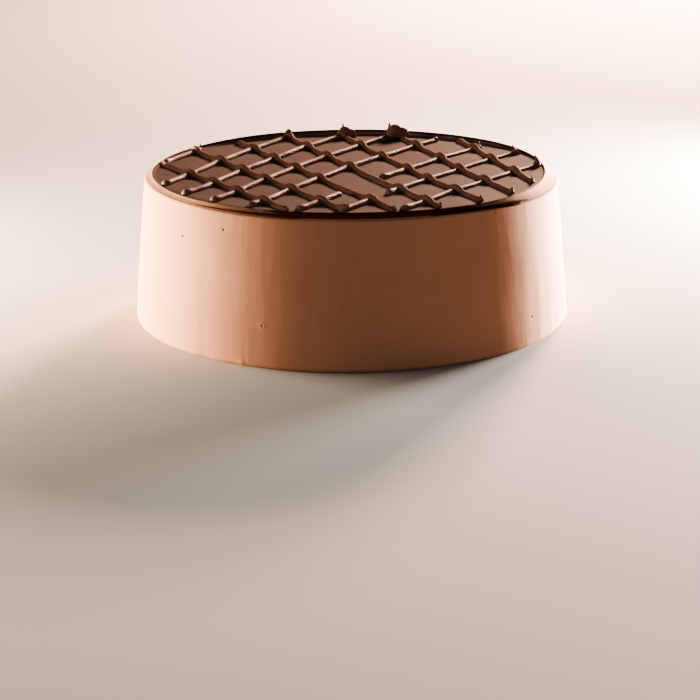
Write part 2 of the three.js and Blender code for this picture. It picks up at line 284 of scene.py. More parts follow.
@dataclass(frozen=True)
class Clouds:
    """Soft clouds in a surface, from one tone to another and from one roughness to another.

    Attributes:
        tones: The two tones.
        roughness: The roughness in each of them.
        size_mm: The size of a cloud.
        detail: How many finer layers the clouds have.
        middle: The range of the noise that the roughness is spread over.
    """

    tones: tuple[str, str]
    roughness: tuple[float, float]
    size_mm: float = 22.0
    detail: float = 4.0
    middle: tuple[float, float] = (0.3, 0.7)

    def add(self, tree: bpy.types.NodeTree, place: Socket) -> tuple[Socket, Socket]:
        """Adds the clouds: a noise that mixes the tones and sets the roughness.

        Args:
            tree: The material's tree.
            place: The coordinates that the noise reads.

        Returns:
            The colour and the roughness.
        """
        noise = {"Vector": place, "Scale": per_metre(self.size_mm), "Detail": self.detail}
        cloud = add_node(tree, "ShaderNodeTexNoise", noise).outputs["Fac"]
        first, second = (linear(code) for code in self.tones)
        mixed = {MIX_SHARE: cloud, MIX_FIRST: first, MIX_SECOND: second}
        colour = add_node(tree, "ShaderNodeMix", mixed, data_type="RGBA").outputs[MIX_RESULT]
        span = {"From Min": self.middle[0], "From Max": self.middle[1]}
        rough = {"Value": cloud, **span, "To Min": self.roughness[0], "To Max": self.roughness[1]}
        return colour, add_node(tree, "ShaderNodeMapRange", rough).outputs[0]


@dataclass(frozen=True)
class MousseFinish:
    """Set milk chocolate mousse, drawn smooth with a warm blade.

    The eye gets a dull tan with soft clouds of tone, fine upright drag lines where light grazes it,
    and a dark film where ganache was wiped over the rim. The cream in it lets light in a little way.

    Attributes:
        name: The material's name.
        mark: The attribute that says how much film lies on the mousse.
        clouds: Its clouds of tone.
        film: The film's tone.
        line_width_mm: The width of a drag line.
        line_length_mm: Its length up the wall.
        line_scale: The scale of the lines' noise in those widths and lengths.
        line_detail: How many finer layers the lines have.
        line_depth_mm: Their depth.
        grain_mm: The width of a grain.
        grain_detail: How many finer layers the grain has.
        grain_depth_mm: Its depth.
        ior: The index of refraction.
        specular: The strength of its gloss.
        scatter: The share of light that goes in.
        scatter_mm: How far it goes in.
        scatter_shares: How far red, green and blue go, as shares of that.
    """

    name: str = "smoothed_milk_chocolate_mousse"
    mark: str = "ganache_film"
    clouds: Clouds = Clouds(("#ac7f67", "#b68971"), (0.76, 0.84), size_mm=34.0, detail=3.0)
    film: str = "#4a362c"
    line_width_mm: float = 1.5
    line_length_mm: float = 16.0
    line_scale: float = 0.5
    line_detail: float = 2.0
    line_depth_mm: float = 0.09
    grain_mm: float = 0.8
    grain_detail: float = 1.0
    grain_depth_mm: float = 0.012
    ior: float = 1.25
    specular: float = 0.1
    scatter: float = 0.15
    scatter_mm: float = 1.5
    scatter_shares: tuple[float, float, float] = (1.0, 0.5, 0.25)

    def make(self) -> bpy.types.Material:
        """Builds the material.

        Returns:
            A dull material with clouds of tone, drag lines and the ganache film by attribute.
        """
        material, place = new_material(self.name)
        tree = material.node_tree
        tone, roughness = self.clouds.add(tree, place)
        film = add_node(tree, "ShaderNodeAttribute", {}, attribute_name=self.mark).outputs["Fac"]
        wiped = {MIX_SHARE: film, MIX_FIRST: tone, MIX_SECOND: linear(self.film)}
        colour = add_node(tree, "ShaderNodeMix", wiped, data_type="RGBA").outputs[MIX_RESULT]
        wide = per_metre(self.line_width_mm)
        drawn = (wide, wide, per_metre(self.line_length_mm))
        upright = add_node(tree, "ShaderNodeMapping", {"Vector": place, "Scale": drawn}).outputs[0]
        dragged = add_relief(tree, upright, self.line_scale, self.line_detail, self.line_depth_mm)
        fine = per_metre(self.grain_mm)
        grained = add_relief(tree, place, fine, self.grain_detail, self.grain_depth_mm, dragged)
        shader = add_node(
            tree,
            "ShaderNodeBsdfPrincipled",
            {
                "Base Color": colour,
                "Roughness": roughness,
                "IOR": self.ior,
                "Specular IOR Level": self.specular,
                "Subsurface Weight": self.scatter,
                "Subsurface Radius": self.scatter_shares,
                "Subsurface Scale": self.scatter_mm * MM,
                "Normal": grained,
            },
        )
        add_node(tree, "ShaderNodeOutputMaterial", {"Surface": shader.outputs[0]})
        return material


@dataclass(frozen=True)
class GanacheFinish:
    """Set dark ganache of chocolate and cream, poured or piped.

    The eye gets a warm dark brown, dull to softly glossy, that goes pale where it is seen at a low angle,
    and slow ripples left by the spoon or the piping bag. Where it rolled over the rim it can take a darker
    tone, painted shade where it faces away from the light, and it is duller there.

    Attributes:
        name: The material's name.
        clouds: Its clouds of tone.
        ior: The index of refraction.
        specular: The strength of its gloss.
        ripple_mm: The width of a ripple.
        ripple_depth_mm: The ripples' depth.
        ripple_detail: How many finer layers they have.
        shaded_roll_tone: Its tone where it rolled over the rim, if it did: a darker tone that is painted
            shade.
        deep_specular: The strength of its gloss there.
        mark: The attribute that says where it rolled over.
    """

    name: str
    clouds: Clouds
    ior: float
    specular: float
    ripple_mm: float
    ripple_depth_mm: float
    ripple_detail: float = 2.0
    shaded_roll_tone: str | None = None
    deep_specular: float = 0.02
    mark: str = "rolled_over"

    def make(self) -> bpy.types.Material:
        """Builds the material.

        Returns:
            A dull to softly glossy material with clouds of tone and slow ripples.
        """
        material, place = new_material(self.name)
        tree = material.node_tree
        colour, roughness = self.clouds.add(tree, place)
        specular = self.specular
        # Where it rolled over the rim the tone is mixed to a darker one: painted shade, as it faces away from
        # the light there.
        if self.shaded_roll_tone:
            roll = add_node(tree, "ShaderNodeAttribute", {}, attribute_name=self.mark).outputs["Fac"]
            shaded_roll = {MIX_SHARE: roll, MIX_FIRST: colour, MIX_SECOND: linear(self.shaded_roll_tone)}
            colour = add_node(tree, "ShaderNodeMix", shaded_roll, data_type="RGBA").outputs[MIX_RESULT]
            duller = {"Value": roll, "To Min": self.specular, "To Max": self.deep_specular}
            specular = add_node(tree, "ShaderNodeMapRange", duller).outputs[0]
        slow = per_metre(self.ripple_mm)
        rippled = add_relief(tree, place, slow, self.ripple_detail, self.ripple_depth_mm)
        shader = add_node(
            tree,
            "ShaderNodeBsdfPrincipled",
            {
                "Base Color": colour,
                "Roughness": roughness,
                "IOR": self.ior,
                "Specular IOR Level": specular,
                "Normal": rippled,
            },
        )
        add_node(tree, "ShaderNodeOutputMaterial", {"Surface": shader.outputs[0]})
        return material


# The pool's pale greyish tone is painted sheen, the pale look of dark ganache seen at a low angle; the darker
# tone where it rolled over the rim is painted shade.
POURED_GANACHE = GanacheFinish(
    name="poured_dark_ganache",
    clouds=Clouds(("#756861", "#7d7069"), (0.56, 0.64)),
    ior=1.2,
    specular=0.1,
    ripple_mm=5.0,
    ripple_depth_mm=0.05,
    shaded_roll_tone="#542b1b",
)
# The spill's right end: the same dark ganache in a still darker tone, painted shade of the recess it lies
# sunk in at the wall's edge.
SHADED_SPILL_END = GanacheFinish(
    name="spill_end_ganache_painted_shade",
    clouds=Clouds(("#3a1f13", "#3e2216"), (0.6, 0.68)),
    ior=1.2,
    specular=0.03,
    ripple_mm=5.0,
    ripple_depth_mm=0.03,
)
GLOSSY_PIPED_GANACHE = GanacheFinish(
    name="glossy_piped_ganache",
    clouds=Clouds(("#866657", "#8b6b5c"), (0.48, 0.54)),
    ior=1.3,
    specular=0.15,
    ripple_mm=3.0,
    ripple_depth_mm=0.06,
)
DULL_PIPED_GANACHE = GanacheFinish(
    name="dull_piped_ganache",
    clouds=Clouds(("#866657", "#8b6b5c"), (0.58, 0.66)),
    ior=1.2,
    specular=0.06,
    ripple_mm=3.0,
    ripple_depth_mm=0.06,
)


@dataclass(frozen=True)
class RimStretch:
    """A stretch of the rim with soft ends.

    Attributes:
        start: The bearings between which it comes in.
        end: The bearings between which it goes out.
    """

    start: tuple[float, float]
    end: tuple[float, float]

    def share(self, bearing: Array) -> Array:
        """1 on the stretch and 0 off it, with a smooth rise and fall between."""
        turn = (bearing + 180) % 360 - 180
        return smooth(turn, *self.start) * (1 - smooth(turn, *self.end))


@dataclass(frozen=True)
class FaceWave:
    """A slow wave over the ganache's face.

    Attributes:
        over_x: The length to the right in which its angle grows by 1.
        over_y: The same to the back.
        phase: Its angle at the axis.
    """

    over_x: float
    over_y: float
    phase: float = 0.0

    def at(self, x: Array, y: Array) -> Array:
        """The wave at places: sin(x / over_x + y / over_y + phase)."""
        return np.sin(x / self.over_x + y / self.over_y + self.phase)


@dataclass(frozen=True)
class CakeForm:
    """Sizes that the body and the ganache share, and the rim's shape by bearing.

    The lip is the crest of the rim: the coat is drawn inwards from the wall's top edge up to it, and
    the ganache stands inside it. At the right the lip lies further in. At the front it stands further
    out and higher, so that the bevel is steep there and the ganache, whose face falls a little from
    front to back, rolls over it. The wall's edge rises a little at the left and drops at the right.

    Attributes:
        foot_radius: The wall's radius at the foot.
        foot_rounding: The radius of the foot's rounded corner.
        wall_top_radius: The wall's radius at its top.
        wall_top_height: The height of its top.
        edge_inset: How far inside the wall's top the coat leaves the rounded edge.
        edge_rounding: How far above the wall's top it leaves the edge.
        edge_rise: How much higher the edge is at the left.
        edge_bearing: Where it is highest.
        edge_spread: How far that reaches to both sides.
        edge_drop: How much lower the edge is at the right.
        drop_spread: How far that reaches to both sides.
        wall_bulge: The height of the wall's slight belly.
        wall_unevenness: The height of the wall's slow waves.
        lip_middle_radius: The lip's radius without its swells and waves.
        lip_middle_height: The lip's height without them.
        lip_unevenness: The height of the lip's waves.
        front_out: How much further out the lip stands at the front.
        front_rise: How much higher it stands there.
        front_spread: How far that reaches to both sides.
        right_extra: How much further in the lip lies at the right.
        right_bearing: Where it lies furthest in, and where the edge is lowest.
        right_spread: How far that reaches to both sides.
        pool_height: The height of the ganache's face at the axis.
        pool_fall: How much the face falls for each millimetre to the back.
        pool_floor: The height of the body's floor under the ganache.
        creep: How far inside the lip the ganache starts to creep up.
        low_bearing: Where it creeps up least.
        low_spread: How far that reaches to both sides.
        low_share: The share of the creep that is missing there.
        lip_stand: How far under the lip the ganache stays that has crept up to it.
        spill: The stretch of the rim that the ganache went over.
        spill_least: The share of the bevel that ganache covers beside the spill.
        spill_most: The share that it covers in the middle of the spill.
        pool_unevenness: The height of the face's waves.
        wide_share: The share of the wide waves in that.
        wide_waves: Waves that are added up.
        crossed_share: The share of the crossed waves.
        crossed_waves: Waves that are multiplied.
    """

    foot_radius: float = 104.0
    foot_rounding: float = 3.0
    wall_top_radius: float = 98.2
    wall_top_height: float = 68.0
    edge_inset: float = 0.9
    edge_rounding: float = 0.65
    edge_rise: float = 0.5
    edge_bearing: float = -75.0
    edge_spread: float = 60.0
    edge_drop: float = 2.4
    drop_spread: float = 65.0
    wall_bulge: float = 0.35
    wall_unevenness: float = 0.3
    lip_middle_radius: float = 94.6
    lip_middle_height: float = 70.5
    lip_unevenness: float = 0.25
    front_out: float = 1.2
    front_rise: float = 1.2
    front_spread: float = 75.0
    right_extra: float = 2.0
    right_bearing: float = 85.0
    right_spread: float = 45.0
    pool_height: float = 69.75
    pool_fall: float = 0.0184
    pool_floor: float = 64.0
    creep: float = 3.4
    low_bearing: float = 100.0
    low_spread: float = 55.0
    low_share: float = 0.9
    lip_stand: float = 0.2
    spill: RimStretch = RimStretch((-31.0, -18.0), (30.0, 43.0))
    spill_least: float = 0.04
    spill_most: float = 0.88
    pool_unevenness: float = 0.14
    wide_share: float = 0.5
    wide_waves: tuple[FaceWave, ...] = (FaceWave(9.0, 15.0, 0.6), FaceWave(-19.0, 11.0, 2.1))
    crossed_share: float = 0.4
    crossed_waves: tuple[FaceWave, ...] = (FaceWave(5.3, -7.1), FaceWave(math.inf, 6.1, 0.8))

    def hand_wave(self, bearing: Array, phase: float | Array) -> Array:
        """Slow waves round the cake: the sum of 2, 5 and 9 sines a turn, between -1 and 1.

        Args:
            bearing: Bearings round the cake.
            phase: The angle by which the waves are shifted.

        Returns:
            The waves there.
        """
        angle = np.radians(bearing)
        wide = 0.5 * np.sin(2 * angle + phase)
        middle = 0.3 * np.sin(5 * angle - 2 * phase)
        return wide + middle + 0.2 * np.sin(9 * angle + 3 * phase)

    def lip_radius(self, bearing: Array) -> Array:
        """The lip's radius: a swell outwards at the front and one inwards at the right, with waves.

        Args:
            bearing: Bearings round the cake.

        Returns:
            The radii there.
        """
        front = self.front_out * swell(bearing, 0, self.front_spread)
        right = self.right_extra * swell(bearing, self.right_bearing, self.right_spread)
        return self.lip_middle_radius + front - right + self.lip_unevenness * self.hand_wave(bearing, 1.0)

    def lip_height(self, bearing: Array) -> Array:
        """The lip's height: a swell upwards at the front, with waves."""
        front = self.front_rise * swell(bearing, 0, self.front_spread)
        return self.lip_middle_height + front + self.lip_unevenness * self.hand_wave(bearing, 2.2)

    def edge_radius(self) -> float:
        """The radius at which the coat leaves the wall's rounded top edge."""
        return self.wall_top_radius - self.edge_inset

    def edge_height(self, bearing: Array) -> Array:
        """The height there: a swell upwards at the left and a drop at the right, as the blade was held."""
        rise = self.edge_rise * swell(bearing, self.edge_bearing, self.edge_spread)
        return self.wall_top_height + self.edge_rounding + rise - self.edge_lowered(bearing)

    def edge_lowered(self, bearing: Array) -> Array:
        """How far the wall's edge drops at the right."""
        return self.edge_drop * swell(bearing, self.right_bearing, self.drop_spread)

    def wall_radius(self, bearing: Array, height: Array) -> Array:
        """The wall's radius: a straight taper, a slight belly and slow waves, both sin(pi climb) high.

        Args:
            bearing: Bearings round the cake.
            height: Heights on the wall.

        Returns:
            The radii there.
        """
        climb = height / self.wall_top_height
        taper = self.foot_radius + (self.wall_top_radius - self.foot_radius) * climb
        uneven = self.wall_unevenness * self.hand_wave(bearing, 3 * climb)
        return taper + np.sin(np.pi * np.clip(climb, 0, 1)) * (self.wall_bulge + uneven)

    def spilled(self, bearing: Array) -> Array:
        """How much ganache went over the rim, from 0 to 1, fading out at both ends of the spill."""
        return self.spill.share(bearing)

    def spill_share(self, bearing: Array) -> Array:
        """The share of the bevel, from the lip outwards, that the spill covers."""
        return self.spill_least + (self.spill_most - self.spill_least) * self.spilled(bearing)

    def pool_level(self, x: Array, y: Array) -> Array:
        """The ganache's height at a place.

        A plane that falls from front to back, with a sum of wide waves and a product of crossed ones, which
        creeps up to the lip along the square of the nearness to it, less so at the right, where the lip
        stands free.

        Args:
            x: Places to the right, in millimetres.
            y: Places to the back.

        Returns:
            The heights there.
        """
        bearing = np.degrees(np.arctan2(x, -y))
        near = 1 - np.clip((self.lip_radius(bearing) - np.hypot(x, y)) / self.creep, 0, 1)
        wide = sum(wave.at(x, y) for wave in self.wide_waves)
        crossed = math.prod(wave.at(x, y) for wave in self.crossed_waves)
        uneven = self.pool_unevenness * (self.wide_share * wide + self.crossed_share * crossed)
        plane = self.pool_height - self.pool_fall * y
        low = self.low_share * swell(bearing, self.low_bearing, self.low_spread)
        climb = (self.lip_height(bearing) - plane - self.lip_stand) * (1 - low)
        return plane + uneven * (1 - near) + climb * near**2


@dataclass(frozen=True)
class WallMark:
    """A small dent or blob on the wall: a bell-shaped dip or rise.

    Attributes:
        bearing: Its place round the cake.
        height: Its height.
        width: Its half width round the cake, in millimetres.
        length: Its half length up the wall.
        rise: How far it stands out of the wall, less than 0 for a dent.
    """

    bearing: float
    height: float
    width: float
    length: float
    rise: float


@dataclass(frozen=True)
class MarkKind:
    """A kind of faint marks that are scattered round the wall.

    Attributes:
        count: How many there are.
        level: Their least and greatest height.
        width: Their least and greatest half width round the cake.
        length: Their least and greatest half length up the wall.
        spread: How far most of them stand out of the wall or into it.
    """

    count: int
    level: tuple[float, float]
    width: tuple[float, float]
    length: tuple[float, float]
    spread: float


@dataclass(frozen=True)
class Smear:
    """Ganache wiped over a stretch of the bevel, thicker towards the lip.

    Attributes:
        stretch: Where it lies round the rim.
        most: How much of the coat it hides where it is thickest.
        least: The share of that which it hides at the wall's edge.
        climb: The shares of the way to the lip between which it thickens.
    """

    stretch: RimStretch
    most: float
    least: float
    climb: tuple[float, float]

    def amount(self, bearing: Array, step: Array) -> Array:
        """How much it hides at bearings and shares of the way to the lip."""
        thicker = self.least + (1 - self.least) * smooth(step, *self.climb)
        return self.most * self.stretch.share(bearing) * thicker


def column(values: tuple[float, ...]) -> Array:
    """Values below each other, so that each of them goes with all bearings."""
    return np.array(values)[:, None]


def rounded(first: Array, corner: Array, last: Array, t: Array) -> Array:
    """A quadratic Bezier curve: (1 - t)^2 first + 2t(1 - t) corner + t^2 last."""
    return (1 - t) ** 2 * first + 2 * t * (1 - t) * corner + t**2 * last


@dataclass
class MousseBody:
    """The mousse body: foot, wall, bevelled rim with its lip, and the floor under the ganache.

    Attributes:
        form: The cake's sizes.
        finish: The mousse.
        columns: The number of even bearings.
        foot_rows: The number of rows round the foot's corner.
        wall_rows: The number of even rows up the wall.
        edge_rows: The number of rows round the top edge, with one of the wall's and one of the bevel's.
        bevel_rows: The number of rows over the bevel.
        seed: The seed of the scattered marks.
        marks: The pores and the blob, each at its own place.
        mark_columns: The number of close columns at each of them.
        mark_half_width: How far those reach to both sides.
        mark_rows: The number of close rows at each of them.
        mark_half_height: How far those reach up and down.
        mark_kinds: The scattered marks: of the blade on the wall, and round the foot.
        edge_depth: How far under the wall's top its last row lies.
        corner_out: How far outside the wall's top the corner of the top edge's curve lies.
        corner_down: How far under the bevel's first row that corner lies.
        drop_power: The power of the height with which the wall follows the drop of its edge.
        bead: The share of the bevel's climb that the bead makes.
        bead_span: The shares of the way to the lip between which it does so.
        film_depth: How much lower the coat lies under the spill.
        film_span: How far inside the spill's edge it goes down, as shares of the bevel.
        smears: Ganache wiped over the bevel at both ends of the spill.
        clean_lip: The stretch on which the lip has no ganache on it.
        lip_span: The shares of the way to the lip between which ganache comes in on the rest.
        under_shares: The radii of the rows under the foot, as shares of the foot's.
        inside_insets: How far inside the lip the rows behind it lie.
        inside_drops: How far under the lip they lie, apart from the last, which lies on the floor.
        floor_shares: The radii of the other rows on the floor, as shares of the last one's.
    """

    form: CakeForm
    finish: MousseFinish
    columns: int = 520
    foot_rows: int = 9
    wall_rows: int = 62
    edge_rows: int = 8
    bevel_rows: int = 22
    seed: int = 7
    marks: tuple[WallMark, ...] = (
        WallMark(-50.26, 53.85, 0.42, 0.42, -0.9),
        WallMark(-35.24, 60.75, 0.4, 0.4, -0.8),
        WallMark(53.15, 14.06, 0.45, 0.35, -0.8),
        WallMark(-23.06, 20.11, 1.3, 1.3, 0.22),
        WallMark(-23.06, 20.11, 0.45, 0.45, -0.8),
        WallMark(40.96, 66.6, 0.5, 0.4, -0.7),
    )
    mark_columns: int = 11
    mark_half_width: float = 1.2
    mark_rows: int = 9
    mark_half_height: float = 1.1
    mark_kinds: tuple[MarkKind, ...] = (
        MarkKind(420, level=(2, 68), width=(1.6, 4.5), length=(6, 26), spread=0.035),
        MarkKind(90, level=(0, 1.5), width=(1.5, 5.0), length=(0.8, 2.2), spread=0.16),
    )
    edge_depth: float = 0.9
    corner_out: float = 0.1
    corner_down: float = 0.2
    drop_power: int = 6
    bead: float = 0.1
    bead_span: tuple[float, float] = (0.42, 0.95)
    film_depth: float = 0.9
    film_span: tuple[float, float] = (0.04, 0.2)
    smears: tuple[Smear, ...] = (
        Smear(RimStretch((-56, -32), (-20, 0)), most=0.65, least=0.25, climb=(0.05, 0.7)),
        Smear(RimStretch((24, 38), (40, 52)), most=0.5, least=0.0, climb=(0.2, 0.9)),
    )
    clean_lip: RimStretch = RimStretch((32, 44), (105, 125))
    lip_span: tuple[float, float] = (0.97, 1.0)
    under_shares: tuple[float, ...] = (0.4, 0.75, 0.95)
    inside_insets: tuple[float, ...] = (0.35, 0.7, 1.4, 2.4)
    inside_drops: tuple[float, ...] = (0.12, 0.6, 2.5)
    floor_shares: tuple[float, ...] = (0.6, 0.25)

    def bearings(self) -> Array:
        """Bearings of the columns: even all round, with close ones at each mark.

        Returns:
            The bearings in order.
        """
        even = np.linspace(-180, 180, self.columns, endpoint=False)
        half = self.mark_half_width
        near = np.degrees(np.linspace(-half, half, self.mark_columns) / self.form.foot_radius)
        return np.unique(np.concatenate([even] + [mark.bearing + near for mark in self.marks]).round(4))

    def heights(self) -> Array:
        """Heights of the wall's rows: even from the foot to the edge, with close ones at each mark.

        Returns:
            The heights in order.
        """
        top = self.form.wall_top_height - self.edge_depth
        even = np.linspace(self.form.foot_rounding, top, self.wall_rows)
        near = np.linspace(-self.mark_half_height, self.mark_half_height, self.mark_rows)
        rows = np.unique(np.concatenate([even] + [mark.height + near for mark in self.marks]).round(3))
        return rows[(rows >= even[0]) & (rows <= even[-1])]

    def relief(self, bearing: Array, height: Array) -> Array:
        """Marks of the blade and the pores on the wall.

        Each mark is a bell over the bearing times a bell over the height, so that all of them together
        are one product of two arrays.

        Args:
            bearing: Bearings of the columns.
            height: Heights of the rows.

        Returns:
            How far the wall stands out, by row and column.
        """
        draw = np.random.default_rng(self.seed)
        kinds = self.mark_kinds
        drawn = (
            [draw.uniform(-180, 180, kind.count) for kind in kinds],
            [draw.uniform(*kind.level, kind.count) for kind in kinds],
            [draw.uniform(*kind.width, kind.count) for kind in kinds],
            [draw.uniform(*kind.length, kind.count) for kind in kinds],
            [draw.normal(0, kind.spread, kind.count) for kind in kinds],
        )
        exact = np.array([astuple(mark) for mark in self.marks]).T
        centre, level, width, length, rise = (np.concatenate([*rows, own]) for rows, own in zip(drawn, exact))
        turn = (bearing[:, None] - centre + 180) % 360 - 180
        across = np.exp(-((np.radians(turn) * self.form.foot_radius / width) ** 2))
        upwards = np.exp(-(((height[:, None] - level) / length) ** 2))
        return (upwards * rise) @ across.T

    def bevel(self, bearing: Array, share: Array) -> tuple[Array, Array]:
        """The coat over the rim, from the wall's edge at 0 to the lip at 1.

        The radius goes straight from the edge to the lip. The height climbs almost evenly, a little more
        at the lip, as a soft bead. Where ganache covers the coat, it lies a film's depth lower.

        Args:
            bearing: Bearings of the columns.
            share: Shares of the way from the edge to the lip, by row.

        Returns:
            Radii and heights by row and column.
        """
        form = self.form
        edge_radius = form.edge_radius()
        edge_height = form.edge_height(bearing)
        step = share[:, None]
        climb = (1 - self.bead) * step + self.bead * smooth(step, *self.bead_span)
        radius = edge_radius + (form.lip_radius(bearing) - edge_radius) * step
        height = edge_height + (form.lip_height(bearing) - edge_height) * climb
        inside = step - (1 - form.spill_share(bearing))
        covered = smooth(inside, *self.film_span)
        return radius, height - self.film_depth * covered * form.spilled(bearing)

    def film(self, bearing: Array, share: Array) -> Array:
        """How much ganache is wiped over the bevel: the smears, and the lip where it isn't clean.

        Args:
            bearing: Bearings of the columns.
            share: Shares of the way from the edge to the lip, by row.

        Returns:
            Values from 0 to 1 by row and column.
        """
        step = share[:, None]
        wiped = sum(smear.amount(bearing, step) for smear in self.smears)
        lip = smooth(step, *self.lip_span) * (1 - self.clean_lip.share(bearing))
        return np.clip(wiped + lip, 0, 1)

    def build(self) -> bpy.types.Object:
        """Makes the body.

        The outline at each bearing goes out under the foot, round the foot, up the wall, round the top
        edge, over the bevel to the lip, down inside it and along the floor under the ganache. Where the
        top edge drops, the wall drops with the sixth power of its height.

        Returns:
            The finished piece.
        """
        form = self.form
        bearing = self.bearings()
        turn = np.radians(np.linspace(0, 90, self.foot_rows))[:, None]
        foot_height = form.foot_rounding * (1 - np.cos(turn))
        foot_radius = form.wall_radius(bearing, foot_height) - form.foot_rounding * (1 - np.sin(turn))
        foot_relief = self.relief(bearing, foot_height[:, 0]) * np.sin(turn)
        under = column(self.under_shares) * foot_radius[0]
        height = self.heights()
        wall = form.wall_radius(bearing, height[:, None])
        lowered = form.edge_lowered(bearing) * (height[:, None] / form.wall_top_height) ** self.drop_power
        wall_level = height[:, None] - lowered
        share = np.linspace(0, 1, self.bevel_rows)
        bevel_radius, bevel_height = self.bevel(bearing, share)
        t = np.linspace(0, 1, self.edge_rows)[1:-1, None]
        corner_radius = form.wall_top_radius + self.corner_out
        corner_height = bevel_height[0] - self.corner_down
        floor = form.pool_floor
        inside_radius = bevel_radius[-1] - column(self.inside_insets)
        inside_top = bevel_height[-1] - column(self.inside_drops)
        inside_height = np.concatenate([inside_top, np.full_like(inside_radius[-1:], floor)])
        middle = column(self.floor_shares) * inside_radius[-1]
        outer_radius = [
            under,
            foot_radius + foot_relief,
            wall[1:] + self.relief(bearing, height[1:]),
            rounded(wall[-1], corner_radius, bevel_radius[0], t),
        ]
        outer_height = [
            0 * under,
            np.broadcast_to(foot_height, foot_radius.shape),
            wall_level[1:],
            rounded(wall_level[-1], corner_height, bevel_height[0], t),
        ]
        radius = np.concatenate([*outer_radius, bevel_radius, inside_radius, middle])
        level = np.concatenate([*outer_height, bevel_height, inside_height, np.full_like(middle, floor)])
        film = np.zeros_like(radius)
        start = sum(len(rows) for rows in outer_radius)
        film[start : start + len(share)] = self.film(bearing, share)
        film[start + len(share) :] = 1
        shell = Shell(turned(bearing, radius, level), np.zeros(3), np.array([0, 0, floor]), film)
        return make_piece("mousse_coat", [shell], self.finish.mark)

    def dress(self, piece: bpy.types.Object) -> None:
        """Gives the body its mousse."""
        settle(piece, self.finish.make(), Node.MOUSSE)


# How a soft strand settles: how much its lower half widens, how flat that is, and where its foot grows.
SETTLED_WIDTH = 0.06
SETTLED_HEIGHT = 0.9
FOOT_SPAN = (-0.45, 0.35)


def tube(
    centres: Array,
    radii: Array,
    sideways: Array,
    squash: float = 1.0,
    foot: float | Array = 0.0,
    level: float = 0.0,
    sides: int = 28,
) -> Shell:
    """Carries a round section along a path.

    The section stands across the path on the sideways direction and on the path's own upward one. Its
    lower half is a little flatter and wider, as a soft strand settles, and round the level at which it
    meets what it lies on its width grows by the foot, as the strand melts into that.

    Args:
        centres: Points of the path.
        radii: The section's radius at each of them.
        sideways: The level direction to the left of the path.
        squash: The section's height over its width.
        foot: How much wider the foot is, as a share of the radius, at each point or for all.
        level: The height in the section, in radii, of what it lies on.
        sides: The number of points round the section.

    Returns:
        The closed tube.
    """
    along = np.gradient(centres, axis=0)
    along /= np.linalg.norm(along, axis=1, keepdims=True)
    side = np.broadcast_to(sideways, centres.shape)
    upward = np.cross(along, side)
    upward /= np.linalg.norm(upward, axis=1, keepdims=True)
    angle = np.linspace(0, 2 * np.pi, sides, endpoint=False)
    spread = 1 + np.broadcast_to(foot, radii.shape)[:, None] * smooth(level - np.sin(angle), *FOOT_SPAN)
    wide = np.cos(angle) * (1 + SETTLED_WIDTH * (1 - np.sin(angle))) * spread
    tall = squash * np.where(np.sin(angle) < 0, SETTLED_HEIGHT, 1) * np.sin(angle)
    across = wide[..., None] * side[:, None] + tall[:, None] * upward[:, None]
    rings = centres[:, None] + radii[:, None, None] * across
    return Shell(rings, centres[0], centres[-1])


